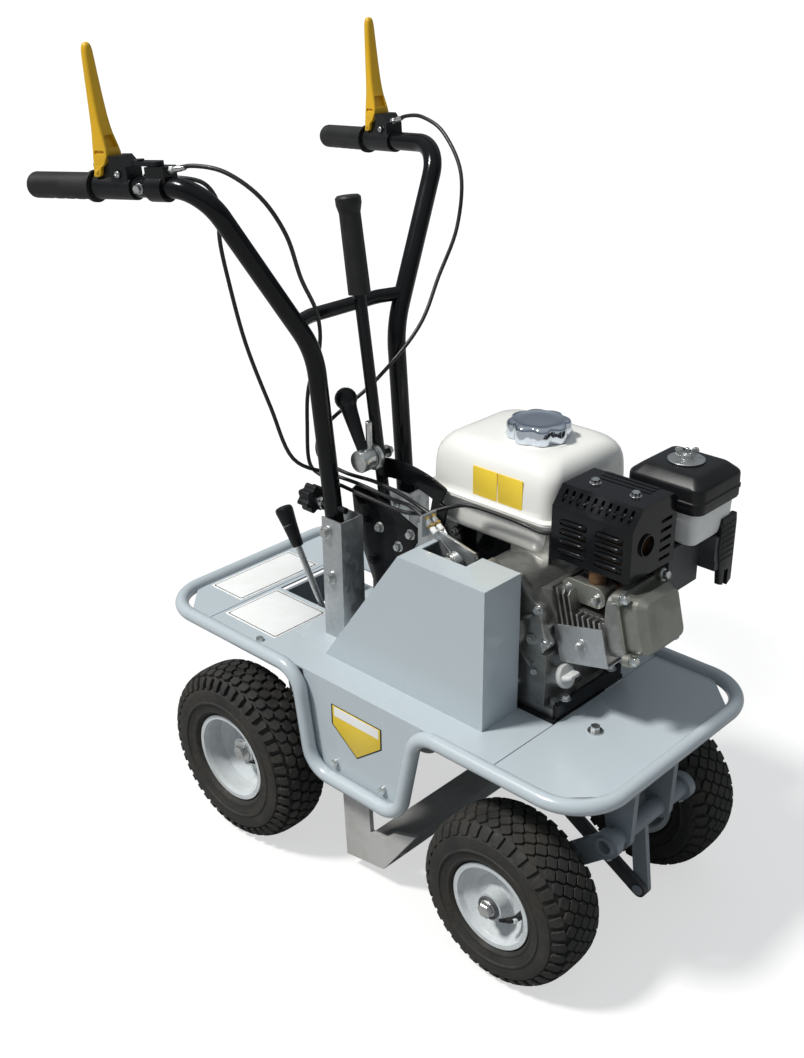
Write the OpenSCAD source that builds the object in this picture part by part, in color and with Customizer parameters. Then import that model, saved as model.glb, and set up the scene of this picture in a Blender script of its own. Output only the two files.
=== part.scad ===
// Walk-behind sod cutter with a petrol engine.
// X points forwards, Y to the operator's left, Z up, in millimetres.
// Places along X are given from the front axle; place() moves them to the middle of the machine.

/* [Wheels] */
// Front tyre diameter
front_tyre_d = 260; // [250:1:266]
// Front tyre width
front_tyre_w = 102; // [90:1:106]
// Front rim diameter over its flanges
front_rim_d = 132; // [124:1:140]
// Rear tyre diameter
rear_tyre_d = 290; // [280:1:296]
// Rear tyre width
rear_tyre_w = 96; // [86:1:100]
// Rear rim diameter over its flanges
rear_rim_d = 146; // [138:1:154]
// Distance between the axles
wheelbase = 515; // [512:1:520]
// Distance between the front tyre centres
front_track = 345; // [342:1:352]
// Distance between the rear tyre centres
rear_track = 414; // [410:1:424]
// Diameter of the rear axle
rear_axle_d = 25; // [22:1:28]

/* [Deck] */
// Height of the deck's top face above the ground
deck_h = 340; // [337:1:346]
// Deck sheet thickness
deck_t = 3; // [2:0.5:4]
// Distance between the centre lines of the bumper rail's sides
rail_span = 408; // [404:1:420]
// Diameter of the bumper rail
rail_d = 22; // [19:1:24]
// Centre line of the rail's front bar, from the front axle
rail_front_x = 142; // [138:1:150]
// Centre line of the rail's rear bar, from the front axle
rail_rear_x = -716; // [-724:1:-712]
// Height of the rail where it dips round the skirt
dip_z = 178; // [172:1:184]

/* [Belt cover] */
// Outer face of the cover from the middle of the machine
cover_y = 141; // [140:1:150]
// Height of the cover above the deck
cover_h = 217; // [214:1:224]
// Sheet thickness of the cover
cover_t = 2; // [1.5:0.5:2.5]

/* [Handle] */
// Diameter of the handle tubes
handle_d = 28; // [25:1:30]
// Half the distance between the tubes at their feet
handle_foot_y = 74; // [73:1:76]
// Height of the lower bend
waist_z = 793; // [785:1:800]
// Half the distance between the tubes at the lower bend
waist_y = 84; // [82:1:88]
// Height of the upper bend
shoulder_z = 1039; // [1030:1:1050]
// Half the distance between the tubes at the upper bend
shoulder_y = 231; // [225:1:240]
// Length of the arm from the upper bend to the end of the tube
arm_len = 312; // [308:1:320]
// Outward splay of the arms
arm_splay = 10.5; // [9:0.5:12]
// Downward slope of the arms
arm_drop = 4.4; // [3.5:0.1:5]
// Diameter of a hand grip
grip_d = 37; // [35:0.5:37]
// Length of a hand grip
grip_len = 128; // [120:1:130]
// Height of a clutch lever above its pin
lever_len = 164; // [150:1:172]

/* [Depth control] */
// Diameter of the depth lever's rod
depth_rod_d = 18; // [16:1:19]
// Length of the depth lever above its pivot
depth_len = 611; // [590:1:625]
// Rearward lean of the depth lever
depth_lean = 8; // [7:0.5:8.5]
// Length of the depth lever's grip
depth_grip_len = 138; // [120:1:145]
// Length of the lever's lower arm and of the carrier's crank
depth_arm = 111; // [108:1:114]

/* [Blade] */
// Cutting width between the blade's cheeks
blade_w = 344; // [340:1:348]
// Thickness of the blade's cheeks
blade_t = 8; // [6:1:9]
// Diameter of the rocker tube
rocker_d = 30; // [28:1:31]

/* [Engine] */
// Height of the crank above the engine's feet
crank_rise = 110; // [108:1:113]
// Upward tilt of the cylinder
head_tilt = 14; // [13:0.5:15]
// Distance from the crank to the end of the valve cover
head_reach = 230; // [226:1:236]
// Length of the fuel tank
tank_l = 228; // [220:1:232]
// Width of the fuel tank
tank_w = 188; // [180:1:192]
// Height of the fuel tank above its seam
tank_h = 78; // [70:1:80]
// Diameter of the fuel cap
fuel_cap_d = 84; // [78:1:88]
// Diameter of the recoil housing
recoil_d = 180; // [174:1:186]

/* [Hidden] */
$fn = 48;

// Shared clearances and cuts
over = 1;
fit = 0.05;
gap = 0.4;
corner_steps = 5;
bend_swell = 0.2;
bend_bite = 1;

// Colours
paint = [0.62, 0.68, 0.74];
black = [0.07, 0.07, 0.08];
zinc = [0.72, 0.73, 0.74];
rubber = [0.12, 0.12, 0.12];
rim_grey = [0.78, 0.8, 0.82];

// Deck outline
deck_low = deck_h - deck_t;
deck_y = rail_span / 2 - rail_d / 2 - bend_swell / 2;
seam_gap = 1.5;
front_seam_x = -21;
rear_seam_x = -614;
corner_gap_a = 13;
shift_cut_x = [-606, -494];
shift_cut_y = [-44, 100];
bed_y = [-60, 108];
bed_rear_x = -304;
belt_slot_x = [-386, -128];
belt_slot_y = [-132, -80];
lever_slot_x = [-402, -336];
lever_slot_y = [-30, -3];

// Corners of the rail and its side dip
dip_rear_x = [-390, -366];
dip_front_x = [-182, -148];
dip_r = 42;
rail_corner_r = 75;

cover_back = 65;
cover_x = [-395, -240, -82];
notch_x = [-232, -150];
notch_y = -100;

// Under-frame
frame_in = 60;
frame_t = 6;
frame_x = [-600, 125];
frame_low = deck_h - 56;
frame_leg_x = [-562, -468];
frame_leg_top_x = [-590, -440];
frame_leg_low = rear_tyre_d / 2 - 41;
frame_nose_x = 30;
frame_beam = 40;
beam_t = 6;
rocker_boss_d = 62;
shaft_boss_d = 46;
shaft_boss_len = 24;
hanger_y = [-62, 32];
hanger_t = 10;
hanger_top = 64;
hanger_d = 40;
axle_hole_d = 46;
shaft_hole_d = 34;

// Handle
foot_x = -416;
foot_z = deck_h + 22;
waist_x = -455;
shoulder_x = -500;
waist_r = 140;
shoulder_r = 60;
bar_d = 21;
bar_z = 838;
bar_bow = 14;
bar_flat_share = 0.62;
bar_r = 40;
bracket_x = [-440, -398];
bracket_t = 3;
bracket_w = 46;
bracket_h = 201;
bracket_bolt_z = [104, 178];
knob_z = deck_h + 214;
knob_shaft_d = 10;
knob_head = 44;
knob_lobes = 7;
knob_steps = 70;
knob_wave = 2.6;

// Hand grips and lever brackets, along an arm from the lever pin
pin_from_shoulder = arm_len - 143;
pin_rise = 22;
pin_d = 6;
grip_round = 8;
grip_wave = 2.4;
grip_wave_d = 21;
grip_waves = 4;
grip_flange_d = 44;
grip_flange_t = 5;
grip_wall = 4;
ear_w = 20;
ear_x = [-11, 30];
ear_top = 10;
clamp_x = [-14, 56];
clamp_d = 35;
block_x = [23.5, 54];
block_w = 30;
block_top = 20;
screw_seat_d = 11;
lever_tip = 12;
lever_foot = 31;
cheek_gap = 0.45;
cheek_r = 6.8;
slot_r = 16;
window = [17, 18];
window_z = 29;
window_depth = 5;

// Throttle
throttle_x = [85, 113];
throttle_d = 38;
throttle_block = [34, 26, 14];
throttle_pin_d = 6;
paddle_len = 34;
paddle_t = 6;
paddle_w = 17;

// Depth control
depth_x = -363;
depth_z = deck_h + 60;
depth_y = -16;
depth_pin_d = 12;
depth_hub = [34, 22];
mount_x = [-398, -322];
mount_in = 12;
mount_t = 4;
mount_top = deck_h + 92;
mount_foot = 14;
quadrant_r = [192, 222];
quadrant_a = [-10, 24];
quadrant_leg = 26;
arm_t = 8;
arm_w = 24;
link_t = 7;
link_y = -28;
link_pin_d = 10;
link_slack = 1;
link_knee = [-222, deck_h - 42];
crank_lean_share = 0.126;
clip_d = 16;
clip_t = 2;
clamp_r = 232;
clamp_bolt_d = 8;
cam_d = 40;
cam_t = 7;
eye_d = 9;
eye_len = 58;
cam_handle = [-42, 94];
cam_handle_d = [14, 24];
cam_head_d = 34;
depth_grip_d = 33;
depth_head_d = 37;
depth_head_t = 12;
grip_ridge = 3;

// Front carrier
pivot_x = 101;
pivot_z = deck_h - 122;
pivot_tube_d = 28;
carrier_w = 202;
stub_d = 20;
carrier_arm_y = 82;
carrier_arm_t = 14;
carrier_boss_d = 40;
stub_boss_d = 34;
bore_depth = 14;
tube_bore = 20;
pinch_bolt_d = 13;
pinch_bolt_h = 7;
washer_t = 2.5;
washer_d = 34;

// Wheels
flange_t = 3;
flange_h = 6;
barrel_t = 3;
web_t = 4;
dish_step = [9, 14];
web_nuts = 4;
nut_r = 34;
front_rim_w = 88;
rear_rim_w = 78;
front_web = 22;
rear_web = -8;
hub_d = 42;
front_hub_out = 45;
rear_hub_out = 12;
tyre_power = 4;
tyre_steps = 12;
tyre_wall = 9;
tread_groove = 6;
tread_depth = 4;
valve_d = 8;
valve_len = 24;
valve_r_share = 0.7;
axle_end = 8;

// Blade
rocker_x = -302;
rocker_z = deck_h - 82;
boot_low = [-320, 23];
boot_front = [-240, 36];
boot_tip = [-173, 132];
boot_top = [-216, 117];
boot_notch = [-238, 96];
boot_heel = [-267, 92];
leg_d = 56;
knife_t = 7;
knife_bevel = 16;
fork_y = [-52, -34];
fork_x = [-296, -206];
fork_gap = 58;
fork_t = 10;

// Drive
gear_x = -440;
gear_z = rear_tyre_d / 2 + 90;
gear_pulley_r = 50;
gear_shaft_d = 16;
gear_case_y = 56;
axle_case_d = 120;
shaft_case_d = 76;
case_top = gear_z + 23;
gear_shaft_in = -30;
ecc_x = -235;
ecc_z = deck_h - 78;
ecc_pulley_r = 45;
ecc_shaft_d = 20;
ecc_d = 36;
ecc_throw = 4;
ecc_end = -30;
crank_x = -135;
crank_pulley_r = 36;
crank_shaft_d = 25;
crank_in = -10;
belt_y = [-118, -92];
belt_w = 12;
belt_t = 8;
groove_slack = 0.8;
belt_steps = 14;
pulley_w = 22;
pulley_rim = 2;
bearing_flange = 84;
bearing_flange_t = 8;
bearing_d = 62;
bearing_w = 22;

// Idlers
idler_x = -195;
idler_z = deck_h + 198;
idler_pin_d = 12;
idler_hub = [26, 14];
idler_plate_t = 6;
idler_plate_w = 18;
roller_d = 32;
drive_roller = [-55, -90];
blade_roller = [-50, -148];
spring_wire = 2;
spring_d = 18;
spring_pitch = 2.8;
spring_curls = 5;
curl_rings = 8;
wire_sides = 6;
anchor_x = [-272, -165];
anchor_top = deck_h + 232;
anchor_t = 4;
anchor_foot = 20;
adjuster_d = [11, 8];
adjuster_len = [9, 26];
adjuster_tab = 13;
adjuster_x = [-256, -252];

// Gear lever
shift_x = -484;
shift_y = -33;
shift_z = gear_z + 37;
shift_tilt = 29;
shift_rod_d = 10;
shift_len = 240;
shift_eye = [22, 10];
shift_pin_d = 8;
shift_ear_t = 6;
shift_knob_d = [18, 29];
shift_knob_len = 62;

// Engine
base_t = 8;
engine_z = deck_low + base_t;
crank_z = engine_z + crank_rise;
case_y = [-52, 95];
case_x = [-225, -45];
case_d = 166;
case_sump_h = 92;
case_foot = [-258, -28];
case_foot_t = 12;
pto_d = 96;
pto_t = 6;
pto_bolts = 6;
rib_t = 5;
cyl_y = 30;
cyl_block = [100, 96];
cyl_start = 86;
fin_size = [112, 108];
fin_t = 3;
fin_pitch = 9;
fins = 9;
barrel_size = [84, 80];
head_len = 30;
cover_size = [92, 84];
cover_round = 18;
cover_len = 34;
cover_flange = [102, 94];
cover_flange_t = 5;
lug_d = 19;
lug_t = 11;
lug_in = 6;
blower_y = [96, 118];
blower_d = 194;
recoil_y = [118.3, 188];
recoil_boss_d = 70;
recoil_boss_h = 8;
recoil_slots = 12;
recoil_slot = [5, 26];
recoil_round = 14;
shroud_t = 2;
duct_len = 67;
pull_y = 155;
pull_rise = 62;
rope_d = 4;
rope_hole_d = 6;
rope_len = 126;
pull_grip = [10, 64];
pull_stand = 8;
pull_round_d = 16;
oil_x = -46;
oil_y = -34;
oil_z = deck_h + 58;
oil_tilt = 20;
oil_neck_d = 30;
oil_neck_len = 20;
oil_bore_d = 18;
oil_cap_d = 34;
oil_cap_t = 8;
oil_tab = [8, 26, 14];

// Tank
tank_x = -320;
tank_y = 4;
tank_seam_z = deck_h + 261;
tank_lip = 7;
tank_lip_t = 5;
tank_under = 24;
tank_round = 34;
tank_shoulder_shares = [[1, 0], [0.985, 0.45], [0.93, 0.8], [0.82, 0.97], [0.7, 1]];
tank_under_shares = [[0.97, 0], [0.9, 0.7], [0.78, 1]];
tank_slab = 0.5;
tank_wall = 2.5;
tank_leg_y = [20, 80];
cap_at = [-186, 98];
neck_d = 60;
neck_h = 10;
cap_h = 22;
cap_lobes = 8;
lobe_d = 22;
cap_wall = 5;

// Muffler and guard
guard_x = [-80, 50];
guard_y = [-5, 98];
guard_z = [deck_h + 222, deck_h + 324];
guard_cut = [22, 26];
guard_far_cut = 10;
guard_t = 2;
guard_post_d = 10;
louvre = [44, 6];
louvre_pitch = 14;
louvre_rows = 4;
louvre_at = [14, 10];
vent_d = 5;
vents = 10;
outlet_d = 28;
outlet_at = [34, 46];
top_ribs = 3;
top_rib = 5;
face_slot = [26, 5];
face_slots = 5;
muffler_in = 10;
elbow_d = 24;
elbow_y = 10;
elbow_r = 14;
port_at = [-10, deck_h + 180];
port_y = 32;
port_flange = [60, 32, 6];
port_cut = [[-46, 26], [-60, 32], [deck_h + 162, deck_h + 260]];

// Air cleaner and carburettor
cleaner_x = [-45, 76];
cleaner_y = [112, 226];
lid_z = [deck_h + 276, deck_h + 320];
lid_round = 22;
lid_chamfer = 12;
lid_rim = 16;
lid_step = 5;
bowl_in = 10;
bowl_z = deck_h + 232;
wing_bolt_d = 8;
wing_bolt_h = 20;
wing_washer_d = 42;
wing_t = 4;
wing_h = 16;
carb_x = [-20, 44];
carb_y = [99, 176];
carb_z = [deck_h + 160, deck_h + 232];
control_box = [[20, 70], [178, 222], [deck_h + 180, deck_h + 231.6]];
choke_at = [4, deck_h + 200];
choke_pin_d = 6;
choke_len = 30;
choke_t = 4;
switch_box = [[-46, -18], [99, 136], [deck_h + 54, deck_h + 96]];
switch_d = 20;
switch_t = 10;
switch_tab = [5, 18, 5];

// Control cables, routes by hand; points under cable_low are heights above the deck
cable_d = 6;
cable_sides = 8;
cable_low = 400;
cable_right = [[-615, -233, 1040], [-574, -219, 1043], [-538, -196, 1036], [-524, -184, 1005],
  [-538, -176, 960], [-546, -160, 900], [-540, -140, 800], [-522, -115, 700], [-492, -102, 282],
  [-460, -56, 252], [-410, -45, 246], [-340, -48, 244], [-290, -62, 252], [-258, -67, 246]];
cable_left = [[-616, 252, 1060], [-580, 246, 1072], [-540, 240, 1074], [-490, 232, 1056],
  [-440, 215, 1004], [-425, 190, 930], [-426, 150, 862], [-422, 100, 794], [-446, 30, 722],
  [-484, -40, 320], [-484, -58, 278], [-446, -44, 256], [-385, -36, 254], [-330, -40, 252],
  [-285, -52, 252], [-258, -54, 246]];
cable_throttle = [[-550, -240, 1058], [-514, -229, 1066], [-470, -212, 1060], [-430, -190, 1030],
  [-412, -165, 980], [-420, -135, 915], [-442, -88, 852], [-470, -60, 790], [-500, -58, 720],
  [-502, -62, 320], [-496, -66, 264], [-470, -64, 248], [-430, -55, 238], [-360, -54, 234],
  [-310, -54, 234], [-276, -47, 240], [-246, -24, 251], [-222, -6, 254], [-160, -3, 254],
  [-96, -3, 254]];

// Fasteners
bolt_d = 14;
bolt_h = 7;
bolt_washer_d = 22;
bolt_washer_t = 2;
screw_d = 12;
screw_h = 5;
front_bolt = [31, -34];
deck_screw_x = -499;
deck_screw_in = 10;
base_bolt_x = [-242, -36.5];
base_bolt_y = [-38, 80];

// Length of the machine and its middle
arm_back = [-cos(arm_splay) * cos(arm_drop), sin(arm_splay) * cos(arm_drop), -sin(arm_drop)];
grip_rear_x = shoulder_x + arm_back[0] * (arm_len + grip_wall - grip_round) - grip_round
  - sqrt(1 - arm_back[0] * arm_back[0]) * (grip_d / 2 - grip_round);
mid_x = (rail_front_x + rail_d / 2 + bend_swell / 2 + grip_rear_x) / 2;

// Vectors and outlines
function unit(v) = v / norm(v);
function turn(a, b, c) = 180 - acos(unit(a - b) * unit(c - b));
function bend_start(a, b, c, r) = b + unit(a - b) * r * tan(turn(a, b, c) / 2);
function bend_centre(a, b, c, r) = b + unit(unit(a - b) + unit(c - b)) * r / cos(turn(a, b, c) / 2);
function arc(c, r, a0, a1, n) = [for (i = [0 : n])
  c + r * [cos(a0 + (a1 - a0) * i / n), sin(a0 + (a1 - a0) * i / n)]];
function round_rect(w, h, r) = concat(
  arc([w / 2 - r, h / 2 - r], r, 0, 90, corner_steps),
  arc([r - w / 2, h / 2 - r], r, 90, 180, corner_steps),
  arc([r - w / 2, r - h / 2], r, 180, 270, corner_steps),
  arc([w / 2 - r, r - h / 2], r, 270, 360, corner_steps));
function fillet(a, b, c, r) =
  let (o = bend_centre(a, b, c, r), s = bend_start(a, b, c, r) - o, e = bend_start(c, b, a, r) - o)
  [for (i = [0 : corner_steps]) o + r * unit(s * (1 - i / corner_steps) + e * i / corner_steps)];
function flat3(p, y) = [p[0], y, p[1]];
function hung(c) = [for (p = c) p + [0, 0, p[2] < cable_low ? deck_h : 0]];
function across(p, s) = [p[0], s * p[1], p[2]];

module place() {
  translate([-mid_x, 0, 0]) children();
}

module up(z) {
  translate([0, 0, z]) children();
}

// A plate with an outline in X and Z, from y up by t
module y_plate(points, y, t) {
  translate([0, y + t, 0]) rotate([90, 0, 0]) linear_extrude(t) polygon(points);
}

// A bar with an outline in Y and Z, from x forwards by t
module x_bar(points, x, t) {
  translate([x, 0, 0]) rotate([90, 0, 90]) linear_extrude(t) polygon(points);
}

// A round bar along Y between two places
module y_rod(d, x, z, y) {
  translate([x, y[0], z]) rotate([-90, 0, 0]) cylinder(d = d, h = y[1] - y[0]);
}

// A slab with rounded corners, on Z
module slab(w, l, r, h) {
  linear_extrude(h) polygon(round_rect(w, l, r));
}

// A cut of a round hole through a height
module bore(d, h) {
  up(-over) cylinder(d = d, h = h + over * 2);
}

module box(x, y, z) {
  translate([x[0], y[0], z[0]]) cube([x[1] - x[0], y[1] - y[0], z[1] - z[0]]);
}

// A round bar between two points
module rod(a, b, d) {
  v = b - a;
  translate(a) rotate([0, acos(v[2] / norm(v)), atan2(v[1], v[0])]) cylinder(d = d, h = norm(v));
}

module bend(a, b, c, r, d) {
  o = bend_centre(a, b, c, r);
  ex = unit(bend_start(a, b, c, r) - o);
  ey = unit(b - a);
  ez = cross(ex, ey);
  multmatrix([[ex[0], ey[0], ez[0], o[0]], [ex[1], ey[1], ez[1], o[1]], [ex[2], ey[2], ez[2], o[2]]])
    rotate_extrude(angle = turn(a, b, c)) translate([r, 0]) circle(d = d + bend_swell);
}

// A straight length of tube that bites into the bend at either end
module straight(a, b, start_bite, end_bite, d) {
  along = unit(b - a);
  rod(a - along * start_bite, b + along * end_bite, d);
}

// A tube through the points, with one bend radius for each inner point
module bent_tube(path, radii, d) {
  last = len(path) - 1;
  for (i = [1 : last - 1]) bend(path[i - 1], path[i], path[i + 1], radii[i], d);
  for (i = [0 : last - 1])
    straight(i == 0 ? path[0] : bend_start(path[i + 1], path[i], path[i - 1], radii[i]),
      i == last - 1 ? path[last] : bend_start(path[i], path[i + 1], path[i + 2], radii[i + 1]),
      i == 0 ? 0 : bend_bite, i == last - 1 ? 0 : bend_bite, d);
}

// A closed tube through the points
module ring_tube(path, radii, d) {
  n = len(path);
  for (i = [0 : n - 1]) {
    a = path[(i + n - 1) % n];
    b = path[i];
    c = path[(i + 1) % n];
    e = path[(i + 2) % n];
    bend(a, b, c, radii[i], d);
    straight(bend_start(c, b, a, radii[i]), bend_start(b, c, e, radii[(i + 1) % n]), bend_bite, bend_bite,
      d);
  }
}

module hex_bolt(d, h) {
  cylinder(d = d, h = h, $fn = 6);
}

module washer_bolt() {
  cylinder(d = bolt_washer_d, h = bolt_washer_t);
  up(bolt_washer_t) hex_bolt(bolt_d, bolt_h);
}

// A V pulley of one groove, on the Z axis, centred on its groove
module pulley(r, w) {
  rotate_extrude() polygon([[0, -w / 2], [r, -w / 2], [r, -belt_w / 2 - gap],
    [r - belt_t - groove_slack, pulley_rim - belt_w / 2 - gap],
    [r - belt_t - groove_slack, belt_w / 2 - pulley_rim + gap], [r, belt_w / 2 + gap], [r, w / 2],
      [0, w / 2]]);
}

// A tube of facets swept along the points
module swept(points, d, sides) {
  n = len(points);
  rings = [for (i = [0 : n - 1])
    let (t = unit(points[min(i + 1, n - 1)] - points[max(i - 1, 0)]),
      side = unit(cross(t, abs(t[2]) > cos(45) ? [1, 0, 0] : [0, 0, 1])), up = cross(side, t))
    [for (k = [0 : sides - 1])
      points[i] + d / 2 * (cos(360 * k / sides) * side + sin(360 * k / sides) * up)]];
  walls = [for (i = [0 : n - 2], k = [0 : sides - 1])
    let (a = i * sides + k, b = i * sides + (k + 1) % sides)
      each [[a, b, b + sides], [a, b + sides, a + sides]]];
  ends = concat([for (k = [1 : sides - 2]) [0, k + 1, k]],
    [for (k = [1 : sides - 2]) [(n - 1) * sides, (n - 1) * sides + k, (n - 1) * sides + k + 1]]);
  polyhedron([for (ring = rings) each ring], concat(walls, ends));
}

// Deck and rail
module skirt_outline() {
  rear_top = [dip_rear_x[0], deck_h];
  rear_low = [dip_rear_x[1], dip_z];
  front_low = [dip_front_x[0], dip_z];
  front_top = [dip_front_x[1], deck_h];
  polygon(concat([[rear_top[0], deck_low]], fillet(rear_top, rear_low, front_low, dip_r),
    fillet(rear_low, front_low, front_top, dip_r), [[front_top[0], deck_low]]));
}

module deck_plate() {
  color(paint) place() {
    difference() {
      box([rear_seam_x + seam_gap / 2, front_seam_x - seam_gap / 2], [-deck_y, deck_y], [deck_low, deck_h]);
      box(shift_cut_x, shift_cut_y, [deck_low - over, deck_h + over]);
      box([bed_rear_x, front_seam_x], bed_y, [deck_low - over, deck_h + over]);
      box(belt_slot_x, belt_slot_y, [deck_low - over, deck_h + over]);
      box(lever_slot_x, lever_slot_y, [deck_low - over, deck_h + over]);
    }
    for (y = [-deck_y, deck_y - deck_t])
      translate([0, y + deck_t, 0]) rotate([90, 0, 0]) linear_extrude(deck_t) skirt_outline();
  }
}

// A deck panel from a seam to the rail, whose corners are cut off inside the rail's bends
module end_panel(seam, rail_x, way) {
  r = rail_corner_r - rail_d / 2 - bend_swell;
  edge = rail_x - way * (rail_d / 2 + bend_swell / 2);
  o = [rail_x - way * rail_corner_r, rail_span / 2 - rail_corner_r];
  corner = [[o[0], deck_y], for (a = [corner_gap_a, 90 - corner_gap_a]) o + r * [way * sin(a), cos(a)],
    [edge, o[1]]];
  half = concat([[seam + way * seam_gap / 2, deck_y]], corner);
  last = len(half) - 1;
  up(deck_low) linear_extrude(deck_t)
    polygon(concat(half, [for (i = [last : -1 : 0]) [half[i][0], -half[i][1]]]));
}

module front_panel() {
  color(paint) place() end_panel(front_seam_x, rail_front_x, 1);
}

module rear_panel() {
  color(paint) place() end_panel(rear_seam_x, rail_rear_x, -1);
}

module bumper_rail() {
  side = [[rail_rear_x, deck_h], [dip_rear_x[0], deck_h], [dip_rear_x[1], dip_z], [dip_front_x[0], dip_z],
    [dip_front_x[1], deck_h], [rail_front_x, deck_h]];
  radii = [rail_corner_r, dip_r, dip_r, dip_r, dip_r, rail_corner_r];
  path = concat([for (p = side) flat3(p, -rail_span / 2)],
    [for (i = [5 : -1 : 0]) flat3(side[i], rail_span / 2)]);
  color(paint) place() ring_tube(path, concat(radii, radii), rail_d);
}

// Under-frame
module frame_side(y) {
  y_plate([[frame_x[0], deck_low], [frame_x[0], frame_low], [frame_leg_top_x[0], frame_low],
    [frame_leg_x[0], frame_leg_low],
    [frame_leg_x[1], frame_leg_low], [frame_leg_top_x[1], frame_low], [frame_nose_x, frame_low],
    [frame_x[1], deck_low - frame_beam], [frame_x[1], deck_low]], y, frame_t);
  flat_arm([rocker_x, rocker_z], [rocker_x, deck_low - rocker_boss_d / 2 - over], rocker_boss_d, y,
    frame_t);
}

module hanger(y) {
  y_rod(hanger_d, pivot_x, pivot_z, [y - hanger_t / 2, y + hanger_t / 2]);
  y_plate([[pivot_x - hanger_d / 2, pivot_z], [pivot_x + hanger_d / 2, pivot_z],
    [frame_x[1], deck_low], [frame_x[1] - hanger_top, deck_low]], y - hanger_t / 2, hanger_t);
}

module chassis_frame() {
  ends = [-frame_in - frame_t - over, frame_in + frame_t + over];
  color(paint) place() difference() {
    union() {
      for (y = [-frame_in - frame_t, frame_in]) frame_side(y);
      box([frame_x[1] - frame_beam, frame_x[1]], [-frame_in, frame_in], [deck_low - beam_t, deck_low]);
      box([frame_x[0], frame_x[0] + beam_t], [-frame_in, frame_in], [frame_low, deck_low]);
      for (y = hanger_y) hanger(y);
      y_rod(shaft_boss_d, ecc_x, ecc_z, [-frame_in - shaft_boss_len / 2,
        shaft_boss_len / 2 - frame_in - frame_t]);
      flat_arm([ecc_x, ecc_z], [ecc_x, deck_low - shaft_boss_d / 2 - over], shaft_boss_d,
        -frame_in - frame_t, frame_t);
    }
    y_rod(pivot_tube_d + fit * 2, pivot_x, pivot_z, ends);
    y_rod(rocker_d + fit * 2, rocker_x, rocker_z, ends);
    y_rod(ecc_shaft_d + fit * 2, ecc_x, ecc_z, [-frame_in - shaft_boss_len, 0]);
    y_rod(axle_hole_d, -wheelbase, rear_tyre_d / 2, ends);
    y_rod(shaft_hole_d, gear_x, gear_z, [ends[0], 0]);
  }
}

module engine_base() {
  color(black) place() box([bed_rear_x + gap, front_seam_x - gap * corner_steps],
    [bed_y[0] + gap, bed_y[1] - gap], [deck_low, engine_z]);
}

// Belt cover: a folded sheet, open below and towards the engine
module belt_cover() {
  x = cover_x;
  top = deck_h + cover_h;
  slope = cover_t / sin(atan2(cover_h, x[1] - x[0]));
  color(paint) place() difference() {
    y_plate([[x[0], deck_h], [x[1], top], [x[2], top], [x[2], deck_h]], -cover_y, cover_y - cover_back);
    y_plate([[x[0] + slope, deck_h], [x[1] + slope / 2, top - cover_t], [x[2] - cover_t, top - cover_t],
      [x[2] - cover_t, deck_h - over],
      [x[0] + slope, deck_h - over]], cover_t - cover_y, cover_y);
    box(notch_x, [notch_y, 0], [top - cover_t * corner_steps, top + over]);
  }
}

// Handle
function handle_path(s) = [[foot_x, s * handle_foot_y, foot_z], [waist_x, s * waist_y, waist_z],
  [shoulder_x, s * shoulder_y, shoulder_z],
    [shoulder_x, s * shoulder_y, shoulder_z] + across(arm_back, s) * arm_len];

module handle_brackets() {
  color(zinc) place() for (s = [-1, 1]) translate([0, s * handle_foot_y, deck_h]) difference() {
    box(bracket_x, [-bracket_w / 2, bracket_w / 2], [0, bracket_h]);
    box([bracket_x[0] - over, bracket_x[1] - bracket_t],
      [bracket_t - bracket_w / 2, bracket_w / 2 - bracket_t], [bracket_t, bracket_h + over]);
    for (z = bracket_bolt_z) y_rod(knob_shaft_d, tube_x(deck_h + z), z, [-bracket_w, bracket_w]);
  }
}

function tube_share(z) = (z - foot_z) / (waist_z - foot_z);
function tube_x(z) = foot_x + (waist_x - foot_x) * tube_share(z);
function tube_y(z) = handle_foot_y + (waist_y - handle_foot_y) * tube_share(z);
function upper_at(z) = let (k = (z - waist_z) / (shoulder_z - waist_z))
  [waist_x + (shoulder_x - waist_x) * k, waist_y + (shoulder_y - waist_y) * k, z];

module handlebar() {
  end = upper_at(bar_z);
  bow = [end[0] - bar_bow, end[1] * bar_flat_share, bar_z];
  color(black) place() difference() {
    union() {
      for (s = [-1, 1]) bent_tube(handle_path(s), [0, waist_r, shoulder_r, 0], handle_d);
      bent_tube([across(end, -1), across(bow, -1), bow, end], [0, bar_r, bar_r, 0], bar_d);
    }
    translate([tube_x(knob_z) - handle_d, -tube_y(knob_z), knob_z]) rotate([0, 90, 0])
      cylinder(d = knob_shaft_d + fit * 2, h = handle_d * 2);
    for (s = [-1, 1], z = bracket_bolt_z)
      y_rod(knob_shaft_d, tube_x(deck_h + z), deck_h + z,
        [s * handle_foot_y - handle_d, s * handle_foot_y + handle_d]);
  }
}

// The frame of an arm: its origin is under the lever pin, X runs forwards along the tube
module arm(s) {
  translate([shoulder_x, s * shoulder_y, shoulder_z] + across(arm_back, s) * pin_from_shoulder)
    rotate([0, -arm_drop, -s * arm_splay]) children();
}

module x_rod(d, x) {
  translate([x[0], 0, 0]) rotate([0, 90, 0]) cylinder(d = d, h = x[1] - x[0]);
}

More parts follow.
